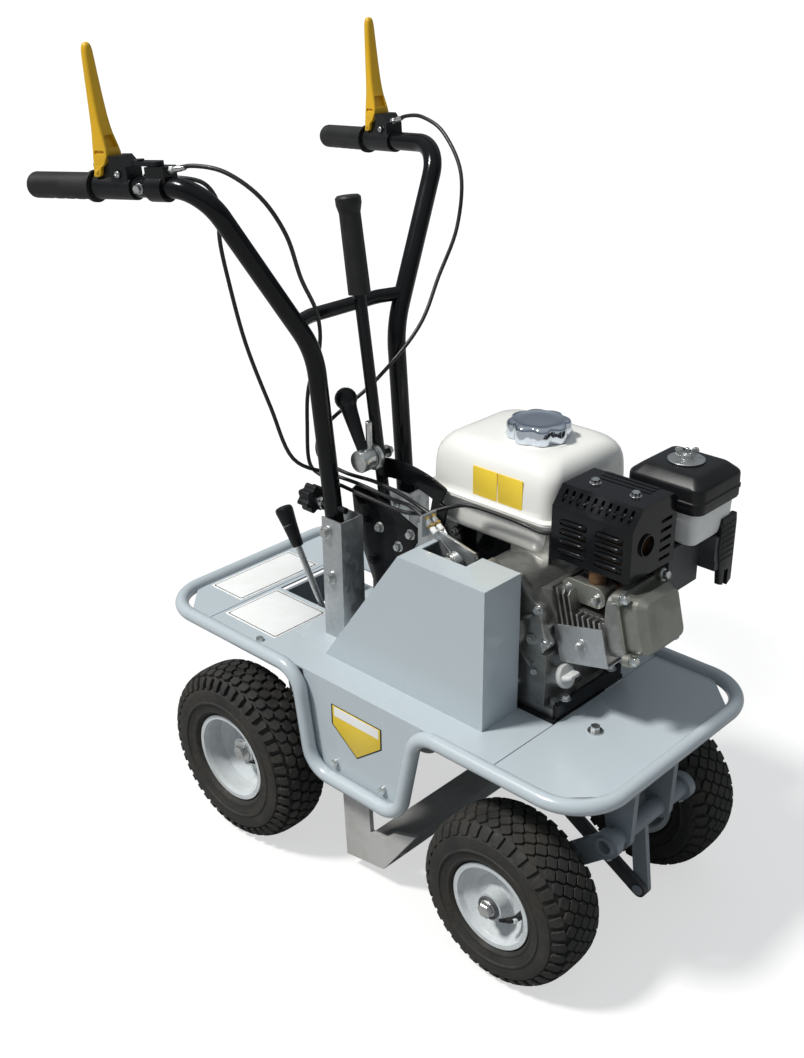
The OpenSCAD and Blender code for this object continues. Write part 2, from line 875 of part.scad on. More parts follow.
module hand_grips() {
  end = pin_from_shoulder - arm_len;
  start = end - grip_wall + grip_len;
  outline = concat([[0, 0], [grip_d / 2 - grip_round, 0]],
    arc([grip_d / 2 - grip_round, grip_round], grip_round, -90, 0, corner_steps),
    [[grip_d / 2, grip_len - grip_flange_t], [grip_flange_d / 2, grip_len - grip_flange_t],
    [grip_flange_d / 2, grip_len], [0, grip_len]]);
  color(black) place() for (s = [-1, 1]) arm(s) difference() {
    translate([end - grip_wall, 0, 0]) rotate([0, 90, 0]) rotate_extrude() polygon(outline);
    x_rod(handle_d + fit * 2, [end - fit, start + over]);
    for (i = [1 : grip_waves])
      y_rod(grip_wave_d, start - i * grip_wave_d, -grip_d / 2 - grip_wave_d / 2 + grip_wave,
        [-grip_d, grip_d]);
  }
}

module lever_brackets() {
  color(black) place() for (s = [-1, 1]) arm(s) {
    difference() {
      union() {
        x_rod(clamp_d, clamp_x);
        box(ear_x, [-ear_w / 2, ear_w / 2], [0, pin_rise + ear_top]);
        box(block_x, [-block_w / 2, block_w / 2], [0, pin_rise + block_top]);
      }
      x_rod(handle_d + fit * 2, [clamp_x[0] - over, clamp_x[1] + over]);
      translate([block_x[1], 0, pin_rise + block_top]) rotate([0, 45, 0])
        cube([ear_w, block_w + over * 2, ear_w], center = true);
      for (e = [-1, 1]) y_rod(screw_seat_d, middle(block_x), handle_d * 2 / 3,
        [e * block_w / 2 - over, e * block_w / 2 + over]);
    }
    for (e = [-1, 1]) y_rod(screw_seat_d - over * 2, middle(block_x), handle_d * 2 / 3,
      [e * block_w / 2 - over * 2, e * block_w / 2 + over * 2]);
    y_rod(pin_d, 0, pin_rise, [-lever_foot / 2, lever_foot / 2]);
  }
}

module throttle_housing() {
  color(black) place() arm(-1) difference() {
    union() {
      x_rod(throttle_d, throttle_x);
      translate([throttle_x[0], -throttle_block[1] / 2, 0])
        cube([throttle_block[0], throttle_block[1], handle_d / 2 + throttle_block[2]]);
    }
    x_rod(handle_d + fit * 2, [throttle_x[0] - over, throttle_x[1] + throttle_block[0]]);
    translate([throttle_x[0] + throttle_block[1] / 2, 0, handle_d / 2 + over])
      cylinder(d = throttle_pin_d + fit * 2, h = throttle_block[2]);
  }
}

module throttle_lever() {
  top = handle_d / 2 + throttle_block[2] + gap;
  color(black) place() arm(-1) translate([throttle_x[0] + throttle_block[1] / 2, 0, top]) {
    up(-throttle_block[2] + over) cylinder(d = throttle_pin_d, h = throttle_block[2]);
    cylinder(d = paddle_w + over, h = paddle_t);
    translate([-paddle_len, -paddle_w / 2, 0]) cube([paddle_len, paddle_w, paddle_t]);
    translate([-paddle_len, 0, 0]) cylinder(d = paddle_w, h = paddle_t + over * 2);
  }
}

module clutch_lever(s) {
  front = block_x[0] - over * 3;
  color([0.93, 0.7, 0.08]) place() arm(s) up(pin_rise) difference() {
    intersection() {
      y_plate([[-cheek_r - over, cheek_r / 2], [-cheek_r, -cheek_r / 2], [-cheek_r / 2, -cheek_r],
        [cheek_r, -cheek_r], [slot_r - over, -cheek_r / 2],
        [front - over, over * 2], [front, slot_r], [front + over * 2, block_top + over],
          [lever_tip / 2, lever_len - over * 2],
        [lever_tip / 3, lever_len], [-lever_tip / 2, lever_len], [-lever_tip / 2, lever_len / 2],
          [-lever_tip / 3, block_top]],
        -lever_foot, lever_foot * 2);
      x_bar([[-lever_foot / 2, -pin_rise], [-lever_foot / 2, pin_rise], [-lever_tip / 2, lever_len],
        [lever_tip / 2, lever_len],
        [lever_foot / 2, pin_rise], [lever_foot / 2, -pin_rise]], -lever_foot, lever_foot * 3);
    }
    y_rod(slot_r * 2, 0, 0, [-ear_w / 2 - cheek_gap, ear_w / 2 + cheek_gap]);
    box([front - window_depth, front + block_w], [-window[0] / 2, window[0] / 2],
      [window_z, window_z + window[1]]);
    for (e = [-1, 1]) translate([0, e * lever_foot / 2, 0])
      box([0, slot_r / 2], [-window_depth / 2, window_depth / 2], [slot_r, window_z]);
    box([0, block_w], [-ear_w / 2 - cheek_gap, ear_w / 2 + cheek_gap], [-pin_rise, ear_top + over]);
    y_rod(pin_d + fit * 2, 0, 0, [-lever_foot, lever_foot]);
  }
}

module clutch_lever_right() {
  clutch_lever(-1);
}

module clutch_lever_left() {
  clutch_lever(1);
}

module star_knob() {
  z = knob_z;
  tip = tube_x(z) + handle_d;
  color(black) place() translate([tip, -tube_y(z), z]) rotate([0, -90, 0]) {
    cylinder(d = knob_shaft_d, h = handle_d * 2 + knob_head / 2);
    up(handle_d * 3 / 2 + over * 2) hex_bolt(knob_shaft_d * 2, bolt_h);
    up(handle_d * 2 + bolt_h) linear_extrude(knob_head / 2)
      polygon([for (i = [0 : knob_steps - 1]) let (a = i * 360 / knob_steps)
        (knob_head / 2 - knob_wave + knob_wave * cos(knob_lobes * a)) * [cos(a), sin(a)]]);
  }
}

// Depth control
module depth_mount() {
  y = [depth_y - mount_in - mount_t, depth_y + mount_in];
  top = [depth_x + sin(quadrant_a[1]) * quadrant_r[0], depth_z + cos(quadrant_a[1]) * quadrant_r[0]];
  color(black) place() {
    for (v = y) y_plate([[mount_x[0], deck_h], [mount_x[0], mount_top - mount_foot],
      [depth_x - mount_foot, mount_top],
      [depth_x + mount_foot, mount_top], [mount_x[1], mount_top - mount_foot * 2], [mount_x[1], deck_h]],
        v, mount_t);
    intersection() {
      difference() {
        y_rod(quadrant_r[1] * 2, depth_x, depth_z, [y[1], y[1] + mount_t]);
        y_rod(quadrant_r[0] * 2, depth_x, depth_z, [y[1] - over, y[1] + mount_t + over]);
      }
      y_plate([[depth_x, depth_z],
        for (a = quadrant_a) [depth_x + sin(a) * quadrant_r[1] * 2,
          depth_z + cos(a) * quadrant_r[1] * 2]], y[1], mount_t);
    }
    y_plate([[mount_x[1] - quadrant_leg, deck_h], [mount_x[1], deck_h], top + [mount_foot, 0],
      top + [-mount_foot, mount_foot / 2]],
      y[1], mount_t);
    y_rod(depth_pin_d, depth_x, depth_z, [y[0] - mount_t, y[1] + mount_t * 2]);
    box(mount_x, [y[0] - mount_foot, y[0] + mount_t], [deck_h, deck_h + mount_t]);
    box(mount_x, [y[1], y[1] + mount_t + mount_foot], [deck_h, deck_h + mount_t]);
  }
}

function depth_point(r) = [depth_x - sin(depth_lean) * r, depth_y, depth_z + cos(depth_lean) * r];
crank_vec = [crank_lean_share, -sqrt(1 - crank_lean_share * crank_lean_share)] * depth_arm;

// A flat arm between two points in X and Z, with round ends
module flat_arm(a, b, w, y, t) {
  v = b - a;
  y_rod(w, a[0], a[1], [y, y + t]);
  y_rod(w, b[0], b[1], [y, y + t]);
  n = [-v[1], v[0]] / norm(v) * w / 2;
  y_plate([a + n, b + n, b - n, a - n], y, t);
}

module link_pin(at) {
  y_rod(link_pin_d, at[0], at[1], [link_y - clip_t - gap, depth_y]);
  y_rod(clip_d, at[0], at[1], [link_y - clip_t - gap, link_y - gap]);
}

module depth_lever() {
  centre = [depth_x, depth_z];
  clamp = depth_point(clamp_r);
  color(black) place() difference() {
    union() {
      rod([depth_x, depth_y, depth_z], depth_point(depth_len - depth_head_t), depth_rod_d);
      y_rod(depth_hub[0], depth_x, depth_z, [depth_y - depth_hub[1] / 2, depth_y + depth_hub[1] / 2]);
      flat_arm(centre, centre + crank_vec, arm_w, depth_y - arm_t / 2, arm_t);
      link_pin(centre + crank_vec);
    }
    y_rod(depth_pin_d + fit * 2, depth_x, depth_z, [depth_y - depth_hub[1], depth_y + depth_hub[1]]);
    y_rod(clamp_bolt_d + fit * 2, clamp[0], clamp[2], [depth_y - depth_rod_d, depth_y + depth_rod_d]);
  }
}

module depth_grip() {
  color(black) place() translate(depth_point(depth_len - depth_grip_len)) rotate([0, -depth_lean, 0])
    difference() {
    rotate_extrude() polygon([[0, 0], [depth_grip_d / 2, 0],
      [depth_grip_d / 2 - over, depth_grip_len - depth_head_t * 2],
      [depth_head_d / 2, depth_grip_len - depth_head_t], [depth_head_d / 2, depth_grip_len - grip_ridge],
      [depth_head_d / 2 - grip_ridge, depth_grip_len], [0, depth_grip_len]]);
    up(-over) cylinder(d = depth_rod_d + fit * 2,
      h = depth_grip_len - depth_head_t + over + fit);
    for (i = [1 : 3], a = [0, 180])
      rotate(a) translate([depth_grip_d / 2 - over, -depth_grip_d / 4, depth_grip_len * i / 5])
        cube([grip_ridge, depth_grip_d / 2, grip_ridge]);
  }
}

module clamp_lever() {
  at = depth_point(clamp_r);
  near = depth_y - depth_rod_d / 2 - gap;
  far = depth_y + mount_in + mount_t + gap;
  outer = near - cam_t * 2 - eye_d;
  color(black) place() {
    y_rod(clamp_bolt_d, at[0], at[2], [outer, far + bolt_h]);
    translate([at[0], far, at[2]]) rotate([-90, 0, 0]) hex_bolt(bolt_d, bolt_h);
    y_rod(cam_d, at[0], at[2], [near - cam_t, near]);
    y_rod(cam_d - cam_t, at[0], at[2], [outer, outer + cam_t]);
    y_rod(eye_d * 2, at[0], at[2], [near - cam_t - eye_d, near - cam_t]);
    rod([at[0], near - cam_t - eye_d / 2, at[2]], [at[0], near - cam_t - eye_d / 2, at[2] + eye_len],
      eye_d);
    lean = atan2(-cam_handle[0], cam_handle[1]);
    r = cam_head_d / 2;
    translate([at[0], outer + cam_t / 2, at[2]]) rotate([0, -lean, 0]) rotate_extrude()
      polygon(concat([[0, 0], [cam_handle_d[0] / 2, 0], [cam_handle_d[1] / 2, cam_handle[1] - r]],
        [for (a = [-40 : 20 : 80]) [r * cos(a), cam_handle[1] + r * sin(a)]], [[0, cam_handle[1] + r]]));
  }
}

module depth_link() {
  a = [depth_x, depth_z] + crank_vec;
  b = [pivot_x, pivot_z] + crank_vec;
  color(zinc) place() difference() {
    union() {
      flat_arm(a, link_knee, arm_w, link_y, link_t);
      flat_arm(link_knee, b, arm_w, link_y, link_t);
    }
    y_rod(link_pin_d + fit * 2, a[0], a[1], [link_y - over, link_y + link_t + over]);
    y_rod(link_pin_d + link_slack * 2, b[0], b[1], [link_y - over, link_y + link_t + over]);
  }
}

module front_carrier() {
  axle_z = front_tyre_d / 2;
  hub_end = front_track / 2 + front_hub_out;
  color(paint) place() difference() {
    union() {
      y_rod(pivot_tube_d, pivot_x, pivot_z, [-carrier_w / 2, carrier_w / 2]);
      flat_arm([pivot_x, pivot_z], [pivot_x, pivot_z] + crank_vec, arm_w, depth_y - arm_t / 2, arm_t);
      link_pin([pivot_x, pivot_z] + crank_vec);
      for (s = [-1, 1]) mirror([0, s < 0 ? 1 : 0, 0]) {
        flat_arm([pivot_x, pivot_z], [0, axle_z], stub_boss_d, carrier_arm_y, carrier_arm_t);
        y_rod(carrier_boss_d, pivot_x, pivot_z, [carrier_arm_y, carrier_arm_y + carrier_arm_t]);
        y_rod(stub_d, 0, axle_z, [carrier_arm_y, hub_end + gap + washer_t]);
        y_rod(stub_boss_d, 0, axle_z, [carrier_arm_y, front_track / 2 - front_rim_w / 2 - gap]);
        y_rod(washer_d, 0, axle_z, [hub_end + gap, hub_end + gap + washer_t]);
        translate([0, hub_end + gap + washer_t, axle_z]) rotate([-90, 0, 0])
          hex_bolt(washer_d * 2 / 3, axle_end);
        translate([pivot_x, carrier_arm_y + carrier_arm_t / 2,
          pivot_z - carrier_boss_d / 2 - pinch_bolt_h + over])
          hex_bolt(pinch_bolt_d, pinch_bolt_h);
      }
    }
    for (s = [-1, 1]) mirror([0, s < 0 ? 1 : 0, 0])
      y_rod(tube_bore, pivot_x, pivot_z, [carrier_w / 2 - bore_depth, carrier_w / 2 + over]);
  }
}

// Wheels: on the Z axis, outboard face up
// Half of a tyre's crown, from its outer side to its inner side
function crown(belly, rise, half) = [for (i = [0 : tyre_steps])
  let (a = 180 * i / tyre_steps, power = 2 / tyre_power)
  [belly + rise * pow(sin(a), power), sign(cos(a)) * half * pow(abs(cos(a)), power)]];

// An open section, so that the air space lies between the tyre and its rim
module tyre(d, w, rim_d, rim_w) {
  seat = rim_d / 2 - flange_h;
  bead = rim_w / 2 - flange_t;
  low = rim_d / 2 + over;
  belly = low + (d / 2 - low) * 2 / 5;
  wall = tyre_wall;
  hollow = crown(belly, d / 2 - belly - wall, w / 2 - wall);
  rotate_extrude() polygon(concat([[seat, bead], [low, bead]], crown(belly, d / 2 - belly, w / 2),
    [[low, -bead], [seat, -bead], [seat, wall - bead], [low, wall - bead]],
    [for (i = [tyre_steps : -1 : 0]) hollow[i]], [[low, bead - wall], [seat, bead - wall]]));
}

module wheel_tyre(d, w, rim_d, rim_w) {
  difference() {
    tyre(d, w, rim_d, rim_w);
    for (z = [-w / 6, w / 6]) up(z - tread_groove / 2) difference() {
      cylinder(d = d + over, h = tread_groove);
      bore(d - tread_depth * 2, tread_groove);
    }
  }
}

// Half section of a rim: hub, dished web, barrel and two rolled flanges
module wheel_rim(rim_d, w, web, hub_out, bore) {
  seat = rim_d / 2 - flange_h;
  inner = seat - barrel_t;
  half = w / 2;
  rotate_extrude() polygon([[bore / 2, -half], [hub_d / 2, -half], [hub_d / 2, web - web_t],
    [inner - flange_h, web - web_t],
    [inner, web - web_t - flange_h], [inner, flange_t - half], [seat - over, -half], [rim_d / 2, -half],
      [rim_d / 2, flange_t - half],
    [seat, flange_t - half], [seat, half - flange_t], [rim_d / 2, half - flange_t],
      [rim_d / 2 + over / 2, half - flange_t / 2],
    [rim_d / 2, half], [seat - over, half], [inner, half - flange_h], [inner - over, web + dish_step[1]],
    [inner - dish_step[0], web + dish_step[1] / 2], [inner - dish_step[0] * 2, web],
      [hub_d / 2 + flange_h / 2, web],
    [hub_d / 2, web + flange_h / 2], [hub_d / 2, hub_out], [bore / 2, hub_out]]);
  translate([seat * valve_r_share, 0, web - over]) cylinder(d = valve_d, h = valve_len);
}

module on_axle(s, x, track, d) {
  translate([x, s * track / 2, d / 2]) rotate([-s * 90, 0, 0]) children();
}

module front_tyre(s) {
  color(rubber) place() on_axle(s, 0, front_track, front_tyre_d)
    wheel_tyre(front_tyre_d, front_tyre_w, front_rim_d, front_rim_w);
}

module front_tyre_right() {
  front_tyre(-1);
}

module front_tyre_left() {
  front_tyre(1);
}

module front_rim(s) {
  color(rim_grey) place() on_axle(s, 0, front_track, front_tyre_d)
    wheel_rim(front_rim_d, front_rim_w, front_web, front_hub_out, stub_d + fit * 2);
}

module front_rim_right() {
  front_rim(-1);
}

module front_rim_left() {
  front_rim(1);
}

module rear_tyres() {
  color(rubber) place() for (s = [-1, 1]) on_axle(s, -wheelbase, rear_track, rear_tyre_d)
    wheel_tyre(rear_tyre_d, rear_tyre_w, rear_rim_d, rear_rim_w);
}

module rear_rims() {
  color(rim_grey) place() for (s = [-1, 1]) on_axle(s, -wheelbase, rear_track, rear_tyre_d)
    wheel_rim(rear_rim_d, rear_rim_w, rear_web, rear_hub_out, rear_axle_d);
  color(zinc) place() for (s = [-1, 1]) on_axle(s, -wheelbase, rear_track, rear_tyre_d)
    for (i = [0 : web_nuts - 1])
    rotate(i * 360 / web_nuts + 45) translate([nut_r, 0, rear_web - over]) {
      cylinder(d = screw_d, h = bolt_h + over * 4);
      cylinder(d = bolt_d + bolt_h, h = bolt_washer_t + over);
    }
}

module rear_axle() {
  end = rear_track / 2 + rear_hub_out;
  color(zinc) place() {
    y_rod(rear_axle_d, -wheelbase, rear_tyre_d / 2, [-end, end]);
    for (s = [-1, 1]) translate([-wheelbase, s * end, rear_tyre_d / 2]) rotate([-s * 90, 0, 0]) {
      cylinder(d = washer_d, h = washer_t);
      up(washer_t) hex_bolt(washer_d * 2 / 3, axle_end);
    }
  }
}

module axle_bearings() {
  color(zinc) place() for (s = [-1, 1]) on_axle(s, -wheelbase, frame_in * 2 + frame_t * 2, rear_tyre_d)
    difference() {
    union() {
      slab(bearing_flange, bearing_flange, bearing_flange / 6, bearing_flange_t);
      cylinder(d = bearing_d, h = bearing_w);
    }
    bore(rear_axle_d + fit * 2, bearing_w);
  }
}

// Drive
module gearbox() {
  ear = [shift_y - shift_eye[1] / 2 - gap - shift_ear_t, shift_y + shift_eye[1] / 2 + gap];
  color([0.3, 0.31, 0.33]) place() {
    difference() {
      union() {
        y_rod(axle_case_d, -wheelbase, rear_tyre_d / 2, [-gear_case_y, gear_case_y]);
        y_plate([[-wheelbase - axle_case_d / 2, rear_tyre_d / 2],
          [-wheelbase - axle_case_d / 3, case_top], [gear_x, case_top],
          [gear_x, gear_z - shaft_case_d / 2], [axle_case_d / 2 - wheelbase, rear_tyre_d / 2]],
            -gear_case_y, gear_case_y * 2);
        y_rod(shaft_case_d, gear_x, gear_z, [-gear_case_y, gear_case_y]);
        box([-wheelbase - axle_case_d / 3, -wheelbase], [-frame_in, frame_in],
          [case_top - beam_t * 3, case_top]);
      }
      y_rod(rear_axle_d + fit * 2, -wheelbase, rear_tyre_d / 2, [-frame_in - over, frame_in + over]);
      y_rod(gear_shaft_d + fit * 2, gear_x, gear_z, [-frame_in - over, gear_shaft_in + over]);
    }
    for (y = ear) y_plate([[shift_x - shift_eye[0], case_top - over],
      [shift_x - shift_eye[0] / 2, shift_z + shift_eye[0] / 3],
      [shift_x + shift_eye[0] / 2, shift_z + shift_eye[0] / 3],
        [shift_x + shift_eye[0], case_top - over]], y, shift_ear_t);
    y_rod(shift_pin_d, shift_x, shift_z, [ear[0], ear[1] + shift_ear_t]);
  }
}

module gear_lever() {
  eye = shift_eye[0] / 2;
  color(zinc) place() translate([shift_x, shift_y, shift_z]) {
    difference() {
      y_rod(shift_eye[0], 0, 0, [-shift_eye[1] / 2, shift_eye[1] / 2]);
      y_rod(shift_pin_d + fit * 2, 0, 0, [-shift_eye[1], shift_eye[1]]);
    }
    rotate([0, -shift_tilt, 0]) rotate_extrude()
      polygon([[0, eye - over * 2], [shift_rod_d / 2 - over, eye - over * 2],
        [shift_rod_d / 2 - over, shift_len - shift_knob_len],
        [shift_knob_d[0] / 2, shift_len - shift_knob_len], [shift_knob_d[1] / 2, shift_len],
          [shift_knob_d[0] / 2, shift_len + over * 4],
        [0, shift_len + over * 4]]);
  }
}

module y_pulley(x, z, y, r) {
  translate([x, y, z]) rotate([-90, 0, 0]) pulley(r, pulley_w);
}

module gearbox_pulley() {
  color(zinc) place() {
    y_pulley(gear_x, gear_z, belt_y[0], gear_pulley_r);
    y_rod(gear_shaft_d, gear_x, gear_z, [belt_y[0] - pulley_w / 2 - over, gear_shaft_in]);
  }
}

module crank_pulley() {
  color(zinc) place() {
    for (y = belt_y) y_pulley(crank_x, crank_z, y, crank_pulley_r);
    y_rod(crank_shaft_d, crank_x, crank_z, [belt_y[0] - pulley_w / 2 - over, crank_in]);
  }
}

module eccentric_pulley() {
  color(zinc) place() {
    y_pulley(ecc_x, ecc_z, belt_y[1], ecc_pulley_r);
    y_rod(ecc_shaft_d, ecc_x, ecc_z, [belt_y[1] - pulley_w / 2 - over, ecc_end]);
    y_rod(ecc_d, ecc_x + ecc_throw, ecc_z, [fork_y[0] + over, fork_y[1] - over]);
  }
}

// The outline round two pulleys, for a belt
function belt_loop(a, ra, b, rb) =
  let (way = atan2(b[1] - a[1], b[0] - a[0]), open = acos((ra - rb) / norm(b - a)))
  concat(arc(a, ra, way + open, way + 360 - open, belt_steps),
    arc(b, rb, way - open, way + open, belt_steps));

module belt(a, ra, b, rb, y) {
  difference() {
    y_plate(belt_loop(a, ra, b, rb), y - belt_w / 2 + pulley_rim, belt_w - pulley_rim * 2);
    y_plate(belt_loop(a, ra - belt_t, b, rb - belt_t), y - belt_w, belt_w * 2);
  }
}

module drive_belts() {
  crank = [crank_x, crank_z];
  color([0.1, 0.1, 0.1]) place() {
    belt(crank, crank_pulley_r, [gear_x, gear_z], gear_pulley_r, belt_y[0]);
    belt(crank, crank_pulley_r, [ecc_x, ecc_z], ecc_pulley_r, belt_y[1]);
  }
}

module idler(roller, y) {
  at = [idler_x, idler_z];
  tip = at + roller;
  color(zinc) place() difference() {
    union() {
      y_rod(idler_hub[0], at[0], at[1], [y - idler_hub[1] / 2, y + idler_hub[1] / 2]);
      flat_arm(at, tip, idler_plate_w, y - idler_plate_t / 2, idler_plate_t);
      y_rod(roller_d, tip[0], tip[1], [y - idler_hub[1] / 2, y + idler_hub[1] / 2]);
    }
    y_rod(idler_pin_d + fit * 2, at[0], at[1], [y - idler_hub[1], y + idler_hub[1]]);
  }
}

module drive_idler() {
  idler(drive_roller, belt_y[0]);
}

module blade_idler() {
  idler(blade_roller, belt_y[1]);
}

// A torsion spring round the idler pin, one unbroken wire from y up
function spring_points(y) = let (n = spring_curls * curl_rings) concat(
  [[idler_x + spring_d / 2, y, idler_z - spring_wire * 3]],
  [for (i = [0 : n]) [idler_x + spring_d / 2 * cos(360 * i / curl_rings), y + spring_pitch * i / curl_rings,
    idler_z + spring_d / 2 * sin(360 * i / curl_rings)]],
  [[idler_x + spring_d / 2, y + spring_pitch * spring_curls, idler_z + spring_wire * 3]]);
function spring_gap(p) = min([for (i = [1 : len(p) - 2 - curl_rings])
  norm(p[i + curl_rings] - p[i])]) - spring_wire;

spring_start = [belt_y[1] + idler_hub[1] / 2 + spring_wire / 2 + gap,
  belt_y[0] + idler_hub[1] / 2 + spring_wire / 2 + gap];

module idler_springs() {
  echo(spring_gap = spring_gap(spring_points(0)));
  color(zinc) place() for (i = [0, 1]) swept(squeeze(spring_points(spring_start[i]), i), spring_wire,
    wire_sides);
}

// The spring between the hubs has fewer turns than the one in the notch
function squeeze(p, i) = i == 0 ? p : [for (k = [0 : len(p) - 1 - curl_rings * 2]) p[k]];

module cable_anchor() {
  y = [-frame_in - anchor_t - gap, -frame_in - gap];
  color(zinc) place() {
    y_plate([[anchor_x[0], deck_h], [anchor_x[0], anchor_top], [anchor_x[0] + anchor_foot * 2, anchor_top],
      [anchor_x[1], idler_z + anchor_foot], [anchor_x[1], deck_h]], y[0], anchor_t);
    y_rod(idler_pin_d, idler_x, idler_z, [belt_y[0] - idler_hub[1] / 2 - over, y[1]]);
    for (c = [cable_right, cable_left]) adjuster(hung(c)[len(c) - 1]);
    box(adjuster_x, [y[0] - adjuster_tab, y[1] + adjuster_tab],
      [anchor_top - adjuster_tab, anchor_top + anchor_foot]);
  }
}

// A cable adjuster that points from the end of its cable to the idlers
module adjuster(at) {
  aim = unit([idler_x, at[1], idler_z] - at);
  rod(at + aim * over, at + aim * adjuster_len[1], adjuster_d[1]);
  rod(at + aim * adjuster_len[0] / 2, at + aim * adjuster_len[0] * 3 / 2, adjuster_d[0]);
}

module control_cables() {
  color(black) place() for (c = [cable_right, cable_left, cable_throttle])
    swept(hung(c), cable_d, cable_sides);
}

// Blade
module blade() {
  half = blade_w / 2;
  cheek = [boot_low, boot_front, boot_tip, boot_top, boot_notch, boot_heel,
    [rocker_x + leg_d / 2, rocker_z], [rocker_x - leg_d / 2, rocker_z]];
  rake = unit(boot_front - boot_low);
  color(zinc) place() {
    for (y = [-half - blade_t, half]) {
      y_plate(cheek, y, blade_t);
      y_rod(leg_d, rocker_x, rocker_z, [y, y + blade_t]);
    }
    y_plate([boot_low, boot_front, boot_front - rake * knife_bevel + [0, knife_t],
      boot_low + [0, knife_t]], -half, blade_w);
    y_rod(rocker_d, rocker_x, rocker_z, [-half, half]);
    difference() {
      box(fork_x, fork_y, [ecc_z - fork_gap / 2 - fork_t, ecc_z + fork_gap / 2 + fork_t]);
      box([fork_x[0] + rocker_d, fork_x[1] + over], [fork_y[0] - over, fork_y[1] + over],
        [ecc_z - fork_gap / 2, ecc_z + fork_gap / 2]);
    }
  }
}

// Engine
module on_cylinder() {
  translate([crank_x, cyl_y, crank_z]) rotate([0, -head_tilt, 0]) children();
}

module on_oil_neck() {
  translate([oil_x, oil_y, oil_z]) rotate([0, 90 - oil_tilt, 0]) children();
}

module crankcase() {
  color([0.66, 0.67, 0.68]) place() difference() {
    union() {
      y_rod(case_d, crank_x, crank_z, case_y);
      box(case_x, case_y, [engine_z, engine_z + case_sump_h]);
      box(case_foot, [case_y[0] - over, case_y[1] + over], [engine_z, engine_z + case_foot_t]);
      y_rod(pto_d, crank_x, crank_z, [case_y[0] - pto_t, case_y[0]]);
      on_cylinder() translate([0, -cyl_block[0] / 2, -cyl_block[1] / 2])
        cube([cyl_start, cyl_block[0], cyl_block[1]]);
      on_oil_neck() up(-oil_neck_len) cylinder(d = oil_neck_d, h = oil_neck_len * 2);
      for (i = [0 : pto_bolts - 1]) translate([crank_x, case_y[0], crank_z])
        rotate([0, i * 360 / pto_bolts + 30, 0]) {
        box([pto_d / 2 - over, case_d / 2 - rib_t], [-rib_t, over], [-rib_t / 2, rib_t / 2]);
        rotate([0, 180 / pto_bolts, 0]) translate([(pto_d + case_d) / 4, over, 0]) rotate([90, 0, 0]) {
          cylinder(d = bolt_d + over * 2, h = rib_t);
          up(rib_t) hex_bolt(bolt_d - over * 3, rib_t / 2);
        }
      }
      translate([case_x[1] - over, middle(case_y), engine_z + case_foot_t + bolt_d]) rotate([0, 90, 0]) {
        cylinder(d = bolt_d + bolt_h, h = bolt_washer_t + over);
        hex_bolt(bolt_d, bolt_h + over);
      }
      for (y = tank_leg_y)
        box([crank_x - tank_round, crank_x + tank_round], [y, y + tank_lip],
          [crank_z, tank_seam_z - tank_under]);
    }
    y_rod(crank_shaft_d + fit * 2, crank_x, crank_z, [case_y[0] - pto_t - over, crank_in + over]);
    on_oil_neck() cylinder(d = oil_bore_d, h = oil_neck_len + over);
  }
}

module oil_cap() {
  color([0.8, 0.81, 0.81]) place() on_oil_neck() {
    up(over * 2) cylinder(d = oil_bore_d - fit * 2, h = oil_neck_len);
    up(oil_neck_len + gap) cylinder(d = oil_cap_d, h = oil_cap_t);
    translate([-oil_tab[0] / 2, -oil_tab[1] / 2, oil_neck_len + gap + oil_cap_t]) cube(oil_tab);
  }
}

module cylinder_head() {
  head_at = head_reach - cover_len - cover_flange_t - head_len;
  color([0.72, 0.73, 0.74]) place() difference() {
    on_cylinder() {
      translate([cyl_start, -barrel_size[0] / 2, -barrel_size[1] / 2])
        cube([head_at - cyl_start + over, barrel_size[0], barrel_size[1]]);
      for (i = [0 : fins - 1]) translate([cyl_start + fin_t + i * fin_pitch, -fin_size[0] / 2,
        -fin_size[1] / 2]) cube([fin_t, fin_size[0], fin_size[1]]);
      translate([head_at, 0, 0]) rotate([90, 0, 90])
        slab(cover_flange[0], cover_flange[1], cover_round, head_len);
    }
    box(port_cut[0], port_cut[1], port_cut[2]);
  }
}

module valve_cover() {
  color([0.6, 0.6, 0.56]) place() on_cylinder() translate([head_reach - cover_len - cover_flange_t, 0, 0])
    rotate([90, 0, 90]) {
    slab(cover_flange[0], cover_flange[1], cover_round, cover_flange_t);
    hull() {
      slab(cover_size[0], cover_size[1], cover_round, cover_flange_t + cover_len * 2 / 3);
      slab(cover_size[0] - cover_round, cover_size[1] - cover_round, cover_round / 2,
        cover_flange_t + cover_len);
    }
    for (x = [-1, 1], y = [-1, 1]) translate([x * (cover_flange[0] - lug_in) / 2,
      y * (cover_flange[1] - lug_in) / 2, 0]) {
      cylinder(d = lug_d, h = lug_t);
      up(lug_t) hex_bolt(lug_d * 2 / 3, bolt_h);
    }
  }
}

module cooling_shroud() {
  under = fin_size[1] / 2 + shroud_t + gap;
  side = fin_size[0] / 2 + shroud_t + gap;
  sheet = fins * fin_pitch;
  color(zinc) place() {
    y_rod(blower_d, crank_x, crank_z, blower_y);
    box(switch_box[0], switch_box[1], switch_box[2]);
    on_cylinder() {
      translate([cyl_start + gap, -side, -under]) cube([sheet, shroud_t, under]);
      translate([cyl_start + gap, -side, -under])
        cube([sheet, blower_y[0] + over * 3 - cyl_y + side, shroud_t]);
      translate([cyl_start / 2, blower_y[0] + over - cyl_y, -under - over])
        cube([duct_len, extent(blower_y) - over * 2, under * 2]);
      translate([cyl_start + sheet / 2, shroud_t / 2 - side, -under / 2]) rotate([90, 0, 0]) {
        cylinder(d = bolt_washer_d, h = shroud_t);
        hex_bolt(bolt_d - over * 2, bolt_h);
      }
    }
  }
}

